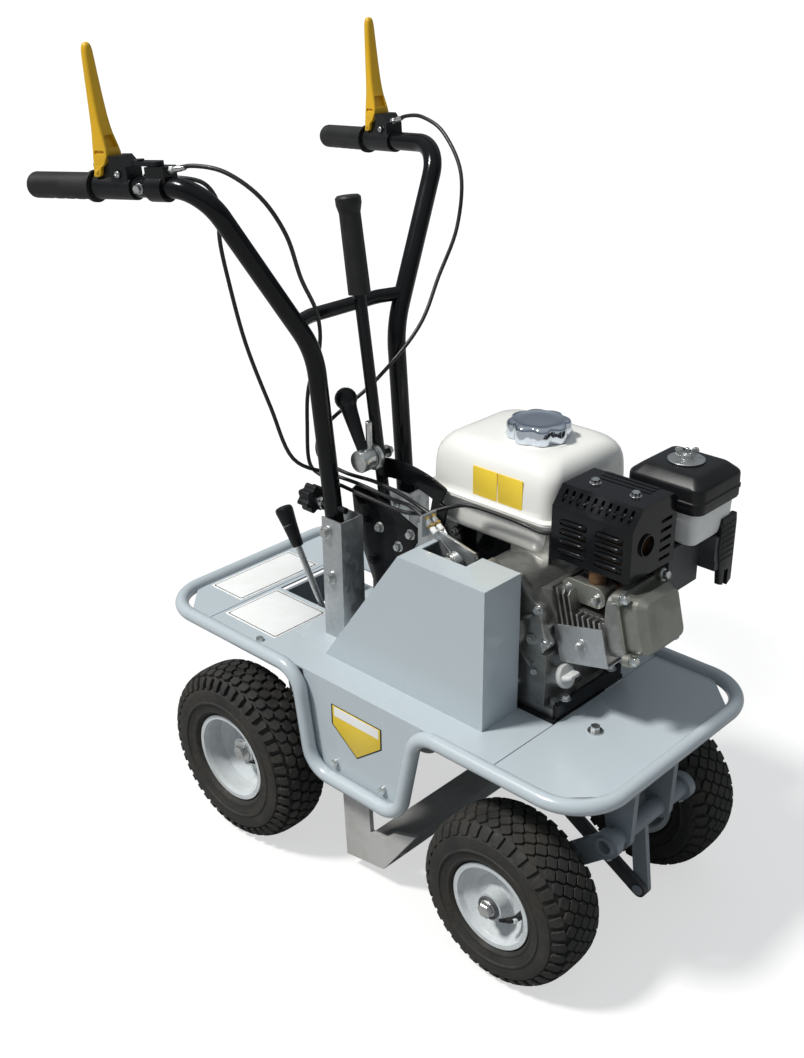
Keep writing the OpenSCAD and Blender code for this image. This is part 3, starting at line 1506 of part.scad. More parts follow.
module recoil_housing() {
  r = recoil_d / 2;
  depth = recoil_y[1] - recoil_y[0];
  color(black) place() difference() {
    translate([crank_x, recoil_y[0], crank_z]) rotate([-90, 0, 0]) difference() {
      union() {
        rotate_extrude() polygon(concat([[0, 0], [r, 0], [r, depth - recoil_round]],
          arc([r - recoil_round, depth - recoil_round], recoil_round, 0, 90, corner_steps), [[0, depth]]));
        up(depth) cylinder(d = recoil_boss_d, h = recoil_boss_h);
      }
      for (i = [0 : recoil_slots - 1]) rotate(i * 360 / recoil_slots)
        translate([recoil_boss_d * 3 / 5, -recoil_slot[0] / 2, depth - recoil_slot[0]])
          cube([recoil_slot[1], recoil_slot[0], recoil_slot[0] * 2]);
    }
    translate([crank_x - recoil_d, pull_y, crank_z + pull_rise]) rotate([0, 90, 0])
      cylinder(d = rope_hole_d, h = recoil_d + rope_len / 2);
  }
}

module recoil_handle() {
  start = crank_x - sqrt(recoil_d * recoil_d / 4 - pull_rise * pull_rise);
  r = pull_round_d / 2;
  half = pull_grip[1] / 2;
  color(black) place() translate([start - pull_grip[0] - r - pull_stand, pull_y, crank_z + pull_rise]) {
    rotate([0, 90, 0]) cylinder(d = rope_d, h = rope_len);
    rotate([90, 0, 0]) rotate_extrude() polygon(concat([[0, -half]],
      arc([r / 2, r / 2 - half], r / 2, -90, 0, corner_steps),
      arc([r / 2, half - r / 2], r / 2, 0, 90, corner_steps), [[0, half]]));
    rotate([0, 90, 0]) cylinder(d1 = pull_round_d - over, d2 = rope_d * 2, h = pull_grip[0] + r);
  }
}

// Tank: stacked slabs of one rounded outline, drawn in by a wall
module tank_shell(shares, low, high, wall) {
  hull() for (s = shares)
    translate([tank_x + tank_l / 2, tank_y + tank_w / 2, low + (high - low) * s[1]])
      slab((tank_l - tank_lip * 2) * s[0] - wall * 2, (tank_w - tank_lip * 2) * s[0] - wall * 2,
        tank_round * s[0] - wall, tank_slab);
}

module fuel_tank() {
  seam = tank_seam_z;
  color([0.92, 0.92, 0.88]) place() difference() {
    union() {
      tank_shell(tank_shoulder_shares, seam, seam + tank_h, 0);
      tank_shell(tank_under_shares, seam, seam - tank_under, 0);
      translate([tank_x + tank_l / 2, tank_y + tank_w / 2, seam])
        slab(tank_l, tank_w, tank_round, tank_lip_t);
      translate([cap_at[0], cap_at[1], seam + tank_h - over]) cylinder(d = neck_d, h = neck_h + over);
    }
    tank_shell(tank_shoulder_shares, seam + over, seam + tank_h - tank_wall, tank_wall);
    tank_shell(tank_under_shares, seam + over, seam - tank_under + tank_wall, tank_wall);
    translate([cap_at[0], cap_at[1], seam]) cylinder(d = neck_d - tank_wall * 4, h = tank_h * 2);
  }
}

module fuel_cap() {
  at = [cap_at[0], cap_at[1], tank_seam_z + tank_h + tank_slab + gap];
  color(zinc) place() translate(at) difference() {
    union() {
      cylinder(d = fuel_cap_d - lobe_d / 3, h = cap_h - cap_wall);
      linear_extrude(cap_h) {
        circle(d = fuel_cap_d - lobe_d / 2);
        for (i = [0 : cap_lobes - 1]) rotate(i * 360 / cap_lobes)
          translate([fuel_cap_d / 2 - lobe_d / 2, 0]) circle(d = lobe_d);
      }
    }
    up(-over) cylinder(d = neck_d + fit * 2, h = neck_h + over + gap);
  }
}

module muffler() {
  x = port_at[0];
  z = port_at[1];
  color([0.3, 0.22, 0.17]) place() {
    box([guard_x[0] + muffler_in, guard_x[1] - muffler_in],
      [guard_y[0] + muffler_in, guard_y[1] - muffler_in],
      [guard_z[0] + muffler_in, guard_z[1] - guard_cut[1]]);
    bent_tube([[x, port_y, z], [x, elbow_y, z], [x, elbow_y, guard_z[0] + muffler_in + over]],
      [0, elbow_r, 0], elbow_d);
    translate([x, port_y, z]) rotate([90, 0, 0]) {
      slab(port_flange[0], port_flange[1], port_flange[1] / 3, port_flange[2]);
      for (e = [-1, 1]) translate([e * port_flange[0] / 3, 0, port_flange[2]])
        hex_bolt(bolt_d - bolt_h / 2, bolt_h);
    }
  }
}

module muffler_guard() {
  x = guard_x;
  y = guard_y;
  z = guard_z;
  long = extent(x);
  row = [for (k = [0 : face_slots - 1]) z[0] + louvre_at[1] + k * louvre_pitch];
  function shape(t) = [[y[0] + t, z[0] - t], [y[0] + t, z[1] - guard_cut[1]],
    [y[0] + guard_cut[0], z[1] - t],
    [y[1] - guard_far_cut, z[1] - t], [y[1] - t, z[1] - guard_far_cut], [y[1] - t, z[0] - t]];
  color(black) place() {
    for (px = [x[0] + long / 4, x[1] - long / 4])
      translate([px, middle(y), z[1] - guard_cut[1] + gap / 2]) {
      cylinder(d = guard_post_d, h = guard_cut[1] - guard_t);
      up(guard_cut[1] - guard_t * 2) hex_bolt(screw_d, guard_t * 2 + screw_h);
    }
    translate([x[1] - over, y[0] + outlet_at[0], z[0] + outlet_at[1]]) rotate([0, 90, 0]) difference() {
      cylinder(d = outlet_d + guard_t * 2, h = guard_t * 2);
      up(-over) cylinder(d = outlet_d, h = guard_t * 4);
    }
    for (k = [0 : top_ribs - 1]) let (far = y[1] - guard_far_cut - k * 2 * top_rib)
      box([x[0] + guard_cut[0], x[1] - guard_cut[0]], [far - top_rib, far], [z[1] - over, z[1] + over]);
    difference() {
      x_bar(shape(0), x[0], long);
      x_bar(shape(guard_t), x[0] + guard_t, long - guard_t * 2);
      for (i = [0, 1], k = [0 : louvre_rows - 1])
        translate([x[0] + louvre_at[0] + i * (louvre[0] + louvre_at[0]), 0, row[k]])
        box([0, louvre[0]], [y[0] - over, y[0] + guard_t + over], [0, louvre[1]]);
      for (i = [1 : vents]) translate([x[0] + long * i / (vents + 1), y[0] + guard_cut[0] / 2,
        z[1] - guard_cut[1] / 2])
        rotate([90 + atan2(guard_cut[0], guard_cut[1]), 0, 0])
          cylinder(d = vent_d, h = guard_cut[0], center = true);
      translate([x[1] - guard_t - over, y[0] + outlet_at[0], z[0] + outlet_at[1]]) rotate([0, 90, 0])
        cylinder(d = outlet_d, h = guard_t + over * 2);
      for (v = row)
        box([x[1] - guard_t - over, x[1] + over],
          [y[1] - guard_far_cut - face_slot[0], y[1] - guard_far_cut], [v, v + face_slot[1]]);
    }
  }
}

function middle(v) = (v[0] + v[1]) / 2;
function extent(v) = v[1] - v[0];

module on_cleaner(z) {
  translate([middle(cleaner_x), middle(cleaner_y), z]) children();
}

module air_cleaner_base() {
  color([0.92, 0.93, 0.93]) place() on_cleaner(bowl_z) {
    slab(extent(cleaner_x) - bowl_in * 2, extent(cleaner_y) - bowl_in * 2, lid_round, lid_z[0] - bowl_z);
    cylinder(d = wing_bolt_d, h = lid_z[1] + wing_bolt_h - bowl_z);
  }
}

module air_cleaner_cover() {
  w = extent(cleaner_x);
  l = extent(cleaner_y);
  h = extent(lid_z);
  color(black) place() on_cleaner(lid_z[0]) difference() {
    union() {
      slab(w, l, lid_round, lid_rim);
      hull() {
        slab(w - lid_step, l - lid_step, lid_round, h - lid_chamfer);
        linear_extrude(h) polygon(round_rect(w - lid_chamfer * 2, l - lid_chamfer * 2, lid_round / 2));
      }
    }
    bore(wing_bolt_d + fit * 2, h);
  }
}

module wing_nut() {
  color(zinc) place() on_cleaner(lid_z[1] + gap) difference() {
    union() {
      cylinder(d = wing_washer_d, h = washer_t);
      cylinder(d = wing_bolt_d * 2, h = wing_h / 2);
      for (s = [-1, 1]) rotate([0, s * 25, 0]) translate([-wing_bolt_d / 2 + s * wing_bolt_d, -wing_t / 2,
        washer_t * 3]) cube([wing_bolt_d, wing_t, wing_h]);
    }
    bore(wing_bolt_d + fit * 2, wing_bolt_h);
    up(wing_h / 2 + over) cylinder(d = wing_bolt_d + gap * 2, h = wing_bolt_h);
  }
}

module carburettor() {
  x = carb_x;
  color([0.2, 0.2, 0.21]) place() difference() {
    union() {
      box(x, carb_y, carb_z);
      y_rod(extent(x) * 2 / 3, middle(x), middle(carb_z), [cyl_y + fin_size[0] / 2, carb_y[0] + over]);
      box(control_box[0], control_box[1], control_box[2]);
      box([middle(x), control_box[0][1]], [carb_y[1] - over, control_box[1][0] + over],
        [carb_z[0] + extent(carb_z) / 2, carb_z[1]]);
    }
    y_rod(choke_pin_d + fit * 2, choke_at[0], choke_at[1], [carb_y[1] - choke_len / 2, carb_y[1] + over]);
  }
}

module choke_lever() {
  y = carb_y[1] + gap;
  color(black) place() {
    y_rod(choke_pin_d, choke_at[0], choke_at[1], [carb_y[1] - choke_len / 3, y + choke_t]);
    flat_arm(choke_at, choke_at - [choke_len, choke_len / 3], choke_pin_d * 2, y, choke_t);
  }
}

module engine_switch() {
  y = switch_box[1][1] + gap;
  x = middle(switch_box[0]);
  z = middle(switch_box[2]);
  color([0.6, 0.06, 0.05]) place() {
    y_rod(switch_d, x, z, [y, y + switch_t]);
    box([x - switch_tab[0] / 2, x + switch_tab[0] / 2], [y + switch_t, y + switch_t + switch_tab[2]],
      [z - switch_tab[1] / 2, z + switch_tab[1] / 2]);
  }
}

module fasteners() {
  color(zinc) place() {
    translate([front_bolt[0], front_bolt[1], deck_h]) washer_bolt();
    for (s = [-1, 1]) {
      translate([deck_screw_x, s * (deck_y - deck_screw_in), deck_h]) hex_bolt(screw_d, screw_h);
      for (z = bracket_bolt_z) translate([tube_x(deck_h + z), s * handle_foot_y, deck_h + z]) {
        y_rod(knob_shaft_d, 0, 0, [-bracket_w / 2 - over, bracket_w / 2 + over]);
        for (e = [-1, 1]) translate([0, e * bracket_w / 2, 0]) rotate([-e * 90, 0, 0]) washer_bolt();
      }
    }
    for (x = base_bolt_x, y = base_bolt_y) translate([x, y, engine_z + case_foot_t])
      hex_bolt(bolt_d, bolt_h);
    for (x = [dip_rear_x[1] + dip_r, dip_front_x[0] - dip_r], s = [-1, 1])
      translate([x, s * deck_y, dip_z + rail_d]) rotate([-s * 90, 0, 0]) cylinder(d = screw_d, h = screw_h);
  }
}

deck_plate();
front_panel();
rear_panel();
bumper_rail();
chassis_frame();
belt_cover();
handle_brackets();
handlebar();
hand_grips();
lever_brackets();
throttle_housing();
depth_mount();
gearbox();
axle_bearings();
engine_base();
crankcase();
cylinder_head();
valve_cover();
cooling_shroud();
recoil_housing();
fuel_tank();
muffler();
muffler_guard();
air_cleaner_base();
air_cleaner_cover();
carburettor();
control_cables();
cable_anchor();
drive_belts();
idler_springs();
fasteners();
front_carrier();
depth_link();
front_tyre_right();
front_tyre_left();
front_rim_right();
front_rim_left();
rear_tyres();
rear_rims();
rear_axle();
crank_pulley();
gearbox_pulley();
eccentric_pulley();
drive_idler();
blade_idler();
blade();
depth_lever();
depth_grip();
clamp_lever();
gear_lever();
clutch_lever_right();
clutch_lever_left();
throttle_lever();
fuel_cap();
oil_cap();
wing_nut();
recoil_handle();
choke_lever();
engine_switch();
star_knob();
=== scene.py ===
"""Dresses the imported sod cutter: finishes for every part, treaded tyres, cables, grips and small fittings."""
import math

import bmesh
import bpy
from bpy.props import FloatProperty, FloatVectorProperty, IntProperty, PointerProperty
from mathutils import Matrix, Vector


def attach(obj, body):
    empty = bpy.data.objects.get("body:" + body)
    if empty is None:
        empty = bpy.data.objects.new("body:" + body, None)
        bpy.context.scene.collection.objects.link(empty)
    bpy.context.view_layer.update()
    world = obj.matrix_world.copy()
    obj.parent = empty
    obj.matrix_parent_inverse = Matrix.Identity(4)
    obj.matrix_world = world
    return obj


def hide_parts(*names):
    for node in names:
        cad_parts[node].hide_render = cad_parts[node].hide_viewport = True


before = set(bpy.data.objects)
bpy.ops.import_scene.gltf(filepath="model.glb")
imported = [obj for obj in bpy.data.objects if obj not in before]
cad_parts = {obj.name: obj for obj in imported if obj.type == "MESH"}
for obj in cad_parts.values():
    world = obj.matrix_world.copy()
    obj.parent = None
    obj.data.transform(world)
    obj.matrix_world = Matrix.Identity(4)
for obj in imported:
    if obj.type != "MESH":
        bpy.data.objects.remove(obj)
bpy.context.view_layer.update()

bl_info = {
    "name": "Sod cutter dressing",
    "version": (1, 0, 0),
    "blender": (4, 5, 0),
    "location": "View3D > Sidebar > Sod cutter",
    "description": "Finishes, tyres, cables, grips and fittings for the sod cutter",
    "category": "Object",
}

MM = 0.001
# How far the front axle lies ahead of the frame's origin, in millimetres
AXLE_X = 329.4604
# Places in millimetres from the front axle, the middle line and the ground
FRONT_WHEEL = (0, 172.5, 130)
REAR_WHEEL = (-515, 207, 145)
CRANK_X, CRANK_Z = -135, 455
IDLER_X, IDLER_Z = -195, 538
FILLER_X, FILLER_Y = -186, 98
STUD_X, STUD_Y = 15.5, 169
WING_NUT_Z = 677.2
SIDES = ((-1, "right"), (1, "left"))
UP, RIGHT = (0, 0, 1), (0, -1, 0)
WHITE, BLACK = (1, 1, 1, 1), (0, 0, 0, 1)
# Edges that turn by more than this many degrees stay sharp
SMOOTH = 32


def at(x, y, z):
    """A place in millimetres from the front axle, the middle line and the ground."""
    return Vector(((x + AXLE_X) * MM, y * MM, z * MM))


def on_side(place, side):
    """A place given for the left, on either side of the machine."""
    x, y, z = place
    return x, side * y, z


def colour_prop(label, text, value):
    return FloatVectorProperty(name=label, description=text, default=value, size=3, min=0, max=1,
                               subtype="COLOR")


def length_prop(label, text, value):
    return FloatProperty(name=label, description=text, default=value, min=0, unit="LENGTH")


def count_prop(label, text, value):
    return IntProperty(name=label, description=text, default=value, min=20)


class SodCutterColours(bpy.types.PropertyGroup):
    """Colours of the finishes"""
    grey_paint: colour_prop("Grey enamel", "Deck, rail and cover", (0.47, 0.53, 0.565))
    # Darker than the grey enamel: painted shade for the frame's place in the shade under the deck, with soil on
    # it as well
    frame_paint_with_painted_shade: colour_prop("Soiled enamel with painted shade", "Frame and front carrier under the deck", (0.25, 0.29, 0.325))
    rim_paint: colour_prop("Rim enamel", "Wheel rims", (0.60, 0.64, 0.655))
    black_paint: colour_prop("Black enamel", "Handle, depth lever and guard", (0.0045, 0.0048, 0.0056))
    black_plastic: colour_prop("Black plastic", "Moulded housings and knobs", (0.0070, 0.0073, 0.0082))
    rubber_black: colour_prop("Grip rubber", "Hand grips", (0.012, 0.012, 0.012))
    yellow_plastic: colour_prop("Yellow plastic", "Clutch levers", (0.80, 0.46, 0.012))
    grey_plastic: colour_prop("Grey plastic", "Oil filler cap", (0.58, 0.59, 0.58))
    white_plastic: colour_prop("White plastic", "Air cleaner bowl and plates", (0.86, 0.87, 0.86))
    plate_yellow: colour_prop("Plate yellow", "Blank yellow plates", (0.92, 0.66, 0.05))
    red_plastic: colour_prop("Red plastic", "Engine switch", (0.42, 0.02, 0.015))
    tank_white: colour_prop("Tank enamel", "Fuel tank", (0.90, 0.895, 0.85))
    galvanised: colour_prop("Galvanised sheet", "Brackets and shroud", (0.56, 0.58, 0.59))
    zinc: colour_prop("Zinc plating", "Bolts, axle and links", (0.66, 0.67, 0.66))
    chrome: colour_prop("Chrome", "Fuel cap", (0.72, 0.78, 0.86))
    aluminium: colour_prop("Cast aluminium", "Crankcase and cylinder", (0.44, 0.44, 0.425))
    # Darker than dull aluminium is: a painted reflection of the dark surroundings that the valve cover and
    # exhaust flange would reflect
    valve_aluminium: colour_prop("Dull aluminium with painted dark reflection", "Valve cover and exhaust flange", (0.30, 0.305, 0.27))
    dark_cast: colour_prop("Dark casting", "Gearbox and carburettor", (0.055, 0.056, 0.06))
    steel: colour_prop("Bare steel", "Pulleys", (0.50, 0.51, 0.51))
    blade_steel: colour_prop("Scoured steel", "Blade", (0.60, 0.60, 0.585))
    rusty: colour_prop("Heat-browned steel", "Exhaust", (0.20, 0.105, 0.05))
    brass: colour_prop("Brass", "Cable adjusters", (0.66, 0.48, 0.20))
    tyre: colour_prop("Tyre rubber", "Tyres", (0.017, 0.017, 0.0165))
    soil: colour_prop("Dry soil", "Dirt on the wheels, frame and blade", (0.13, 0.105, 0.06))
    dust: colour_prop("Dust", "Dust on upward faces", (0.52, 0.50, 0.45))


class SodCutterSizes(bpy.types.PropertyGroup):
    """Sizes of the added pieces"""
    front_tread: length_prop("Front tread depth", "Depth of the front tyres' grooves", 0.0042)
    rear_tread: length_prop("Rear tread depth", "Depth of the rear tyres' grooves", 0.0062)
    front_pitches: count_prop("Front blocks", "Tread blocks round a front tyre", 38)
    rear_pitches: count_prop("Rear blocks", "Tread blocks round a rear tyre", 44)
    cable: length_prop("Cable diameter", "Outer diameter of a control cable", 0.006)


# Shader groups


def new_group(name, inputs, outputs):
    """A shader group; an input's kind follows from its value, and an output called Colour is a colour."""
    tree = bpy.data.node_groups.new(name, "ShaderNodeTree")
    for label, value in inputs.items():
        kind = {3: "Vector", 4: "Color"}[len(value)] if isinstance(value, tuple) else "Float"
        socket = tree.interface.new_socket(label, in_out="INPUT", socket_type="NodeSocket" + kind)
        socket.default_value = value
    for label in outputs:
        kind = "Color" if label == "Colour" else "Float"
        tree.interface.new_socket(label, in_out="OUTPUT", socket_type="NodeSocket" + kind)
    return tree, tree.nodes.new("NodeGroupInput").outputs, tree.nodes.new("NodeGroupOutput")


def feed(tree, node, values):
    """Gives a node's inputs their links and plain values."""
    for key, value in values.items():
        if isinstance(value, bpy.types.NodeSocket):
            tree.links.new(value, node.inputs[key])
        else:
            node.inputs[key].default_value = value
    return node


def add(tree, kind, values=None, **settings):
    """A node with its settings, links and plain values."""
    node = tree.nodes.new("ShaderNode" + kind)
    for key, value in settings.items():
        setattr(node, key, value)
    return feed(tree, node, values or {})


def noise(tree, scale, detail, rough=0.55, vector=None):
    vector = vector or add(tree, "TexCoord").outputs["Object"]
    values = {"Vector": vector, "Scale": scale, "Detail": detail, "Roughness": rough}
    return add(tree, "TexNoise", values).outputs["Fac"]


def span(tree, value, low, high, to_low=0.0, to_high=1.0):
    """A value eased from one range into another."""
    values = {"Value": value, "From Min": low, "From Max": high, "To Min": to_low, "To Max": to_high}
    return add(tree, "MapRange", values, interpolation_type="SMOOTHSTEP").outputs["Result"]


def times(tree, a, b):
    return add(tree, "Math", {0: a, 1: b}, operation="MULTIPLY", use_clamp=True).outputs["Value"]


def larger(tree, a, b):
    return add(tree, "Math", {0: a, 1: b}, operation="MAXIMUM").outputs["Value"]


def blend_colours(tree, share, first, second):
    return add(tree, "Mix", {0: share, 6: first, 7: second}, data_type="RGBA").outputs[2]


def ramp(tree, value, low, high, end=1.0):
    """A colour that runs from one tone to another as a value rises."""
    node = add(tree, "ValToRGB", {0: value})
    first, last = node.color_ramp.elements
    first.color = low
    last.color = high
    last.position = end
    return node.outputs["Color"]


def make_tone_group():
    """Two tones that drift into each other, as sprayed or moulded colour does."""
    tree, into, out = new_group("drifting_tone", dict(First=WHITE, Second=BLACK, Scale=8.0, Detail=5.0),
                                ("Colour", "Share"))
    share = span(tree, noise(tree, into["Scale"], into["Detail"], 0.6), 0.36, 0.66)
    feed(tree, out, {"Colour": blend_colours(tree, share, into["First"], into["Second"]), "Share": share})
    return tree


def make_dust_group():
    """Dust that settles on upward faces in soft patches."""
    tree, into, out = new_group("settled_dust", dict(Colour=WHITE, Dust=(0.5, 0.5, 0.45, 1), Amount=0.2,
                                                     Scale=14.0), ("Colour", "Mask"))
    up = add(tree, "SeparateXYZ", {0: add(tree, "TexCoord").outputs["Normal"]}).outputs["Z"]
    lie = span(tree, up, -0.3, 1.0, 0.3, 1.0)
    patch = span(tree, noise(tree, into["Scale"], 6.0, 0.65), 0.40, 0.72)
    speck = span(tree, noise(tree, 420.0, 2.0), 0.60, 0.72)
    mask = times(tree, times(tree, larger(tree, patch, speck), lie), into["Amount"])
    feed(tree, out, {"Colour": blend_colours(tree, mask, into["Colour"], into["Dust"]), "Mask": mask})
    return tree


def make_soil_group():
    """Dry soil that clings in patches, broken up by a finer crumb."""
    tree, into, out = new_group("clinging_soil", dict(Colour=WHITE, Soil=(0.15, 0.11, 0.06, 1), Amount=0.5,
                                                      Scale=18.0), ("Colour",))
    broad = span(tree, noise(tree, into["Scale"], 8.0, 0.7), 0.40, 0.68)
    fine = span(tree, noise(tree, 160.0, 5.0, 0.7), 0.30, 0.66)
    mask = times(tree, times(tree, broad, fine), into["Amount"])
    feed(tree, out, {"Colour": blend_colours(tree, mask, into["Colour"], into["Soil"])})
    return tree


def make_grain_group():
    """Height of a fine surface grain."""
    tree, into, out = new_group("fine_grain", dict(Scale=600.0, Detail=2.0), ("Height",))
    feed(tree, out, {"Height": noise(tree, into["Scale"], into["Detail"])})
    return tree


def make_brush_group():
    """Streaks along one direction, for brushed and drawn metal."""
    tree, into, out = new_group("drawn_streaks", dict(Stretch=(40.0, 900.0, 900.0)), ("Value",))
    place = add(tree, "VectorMath", {0: add(tree, "TexCoord").outputs["Object"], 1: into["Stretch"]},
                operation="MULTIPLY").outputs["Vector"]
    feed(tree, out, {"Value": noise(tree, 1.0, 3.0, 0.6, place)})
    return tree


def make_spangle_group():
    """Crystal patches of hot-dip zinc."""
    tree, into, out = new_group("zinc_spangle", dict(Scale=130.0), ("Value",))
    place = add(tree, "TexCoord").outputs["Object"]
    cells = add(tree, "TexVoronoi", {"Vector": place, "Scale": into["Scale"]}).outputs["Color"]
    feed(tree, out, {"Value": add(tree, "SeparateColor", {0: cells}).outputs[0]})
    return tree


GROUP_MAKERS = {"tone": make_tone_group, "dust": make_dust_group, "soil": make_soil_group,
                "grain": make_grain_group, "brush": make_brush_group, "spangle": make_spangle_group}
groups = {}
finishes = {}

# How each finish is made: its colour where that has another name, second tone as a share of the first, tone
# scale, roughness range, metal, coat, grain scale and depth in millimetres, dust and soil amounts, the pattern
# that varies its roughness, how far its edges are eased in millimetres, and its shine
FINISH_TABLE = {
    "grey_paint": dict(second=0.985, tone=3, rough=(0.27, 0.30), coat=0.4, grain=(520, 0.008), dust=0.012,
                       edge=1.0),
    # The frame's enamel is darkened as painted shade, and soil is laid over it
    "frame_paint_with_painted_shade": dict(second=0.85, tone=7, rough=(0.36, 0.52), grain=(480, 0.012), dust=0.05, soil=0.22,
                        edge=1.0),
    "rim_paint": dict(second=0.88, tone=14, rough=(0.26, 0.42), coat=0.3, grain=(420, 0.015), dust=0.08,
                      soil=0.24),
    "black_paint": dict(second=1.5, tone=9, rough=(0.10, 0.20), grain=(480, 0.006), dust=0.004, edge=1.0,
                        shine=0.26),
    "black_plastic": dict(second=1.4, tone=12, rough=(0.28, 0.40), grain=(1500, 0.025), dust=0.006, edge=1.4,
                          shine=0.3),
    "rubber_black": dict(second=1.6, tone=20, rough=(0.45, 0.62), grain=(1100, 0.05), dust=0.012, edge=1.2,
                         shine=0.35),
    "yellow_plastic": dict(second=0.90, tone=16, rough=(0.36, 0.46), grain=(1300, 0.02), dust=0.03),
    "plate_yellow": dict(second=0.94, tone=10, rough=(0.34, 0.42), grain=(1300, 0.004), dust=0.02),
    "grey_plastic": dict(second=0.9, tone=20, rough=(0.38, 0.50), grain=(1200, 0.03), dust=0.08),
    "white_plastic": dict(second=0.93, tone=12, rough=(0.30, 0.40), grain=(1100, 0.015), dust=0.08),
    "red_plastic": dict(second=0.85, tone=30, rough=(0.30, 0.42), grain=(1200, 0.02), dust=0.04),
    "tank_white": dict(second=0.965, tone=6, rough=(0.16, 0.26), coat=0.6, grain=(460, 0.006), dust=0.06),
    "galvanised": dict(second=0.86, tone=22, rough=(0.30, 0.50), metal=0.85, grain=(700, 0.012), dust=0.10,
                       pattern="spangle"),
    "zinc": dict(second=0.82, tone=60, rough=(0.20, 0.36), metal=0.95, grain=(900, 0.008), dust=0.06),
    "chrome": dict(second=0.95, tone=30, rough=(0.05, 0.12), metal=1.0, grain=(300, 0.002), dust=0.02),
    "aluminium": dict(second=0.62, tone=26, rough=(0.28, 0.46), metal=0.88, grain=(900, 0.05), dust=0.04,
                      soil=0.22),
    # Aluminium whose colour carries a painted dark reflection
    "valve_aluminium": dict(second=0.82, tone=18, rough=(0.34, 0.50), metal=0.75, grain=(800, 0.05), dust=0.14),
    "dark_cast": dict(second=1.5, tone=24, rough=(0.45, 0.62), metal=0.3, grain=(700, 0.08), dust=0.10),
    "steel": dict(second=0.82, tone=18, rough=(0.34, 0.52), metal=0.7, grain=(500, 0.02), dust=0.08, soil=0.12,
                  pattern="brush"),
    "blade_steel": dict(second=0.86, tone=18, rough=(0.38, 0.55), metal=0.35, grain=(500, 0.02), dust=0.06,
                        soil=0.16, pattern="brush"),
    "rusty": dict(second=0.55, tone=40, rough=(0.5, 0.75), metal=0.4, grain=(600, 0.06), dust=0.12),
    "brass": dict(second=0.85, tone=60, rough=(0.22, 0.36), metal=0.95, grain=(900, 0.01), dust=0.05),
    "tyre": dict(second=1.55, tone=24, rough=(0.62, 0.82), grain=(600, 0.10), dust=0.012, soil=0.20,
                 shine=0.35),
    "belt_rubber": dict(colour="rubber_black", second=1.8, tone=60, rough=(0.6, 0.8), grain=(700, 0.06),
                        dust=0.10),
    "cable": dict(colour="black_plastic", second=1.5, tone=40, rough=(0.34, 0.5), grain=(900, 0.01), dust=0.04),
}
# A tone up to this scale drifts smoothly; a finer one is broken up
BROAD_TONE = 6


def place_group(tree, name, **values):
    return add(tree, "Group", values, node_tree=groups[name])


def make_finish(name, colours, second, tone, rough, grain, dust, metal=0.0, coat=0.0, soil=0.0, pattern=None,
                colour=None, edge=0.7, shine=0.5):
    base = (*getattr(colours, colour or name), 1.0)
    other = (*(min(1.0, c * second) for c in base[:3]), 1.0)
    material = bpy.data.materials.new(name)
    material.use_nodes = True
    material.diffuse_color = base
    tree = material.node_tree
    toned = place_group(tree, "tone", First=base, Second=other, Scale=float(tone),
                        Detail=5.0 if tone > BROAD_TONE else 1.0)
    top, worn = toned.outputs["Colour"], toned.outputs["Share"]
    if pattern:
        worn = place_group(tree, pattern).outputs["Value"]
        top = blend_colours(tree, worn, top, other)
    if soil:
        top = place_group(tree, "soil", Colour=top, Soil=(*colours.soil, 1.0), Amount=soil).outputs["Colour"]
    film = place_group(tree, "dust", Colour=top, Dust=(*colours.dust, 1.0), Amount=dust)
    worn = larger(tree, worn, film.outputs["Mask"])
    height = place_group(tree, "grain", Scale=float(grain[0])).outputs["Height"]
    soft = add(tree, "Bevel", {"Radius": edge * MM}, samples=4).outputs["Normal"]
    bump = add(tree, "Bump", {"Strength": 1.0, "Distance": grain[1] * MM, "Height": height, "Normal": soft})
    feed(tree, tree.nodes["Principled BSDF"], {
        "Base Color": film.outputs["Colour"], "Roughness": span(tree, worn, 0.0, 1.0, *rough),
        "Metallic": metal, "Coat Weight": coat, "Coat Roughness": 0.08, "Specular IOR Level": shine,
        "Normal": bump.outputs["Normal"]})
    return material


NODE_FINISH = {
    "grey_paint": "deck_plate front_panel rear_panel bumper_rail belt_cover",
    # The frame and front carrier take the darkened enamel: painted shade for their place under the deck
    "frame_paint_with_painted_shade": "chassis_frame front_carrier",
    "black_paint": "handlebar depth_mount depth_lever muffler_guard engine_base",
    "rubber_black": "hand_grips depth_grip",
    "yellow_plastic": "clutch_lever_right clutch_lever_left",
    "black_plastic": "lever_brackets throttle_housing throttle_lever air_cleaner_cover recoil_housing "
                     "recoil_handle choke_lever star_knob clamp_lever",
    "grey_plastic": "oil_cap",
    "white_plastic": "air_cleaner_base",
    "red_plastic": "engine_switch",
    "tank_white": "fuel_tank",
    "chrome": "fuel_cap",
    "galvanised": "handle_brackets cooling_shroud cable_anchor",
    "zinc": "fasteners wing_nut rear_axle axle_bearings idler_springs drive_idler blade_idler gear_lever",
    "aluminium": "crankcase cylinder_head",
    # The valve cover takes the aluminium darkened as painted reflection
    "valve_aluminium": "valve_cover",
    # The depth link takes the dark casting as painted shade, for it hangs in the shade under the deck
    "dark_cast": "gearbox carburettor depth_link",
    "steel": "crank_pulley gearbox_pulley eccentric_pulley",
    "blade_steel": "blade",
    "rusty": "muffler",
    "belt_rubber": "drive_belts",
    "tyre": "front_tyre_right front_tyre_left rear_tyres",
    "rim_paint": "front_rim_right front_rim_left rear_rims",
    "cable": "control_cables",
}


# Frames to build in


def local(m, x, y, z):
    """A place in millimetres within a frame."""
    return m @ (Vector((x, y, z)) * MM)


def facing(m, way):
    """A direction within a frame."""
    return m.to_3x3() @ Vector(way)


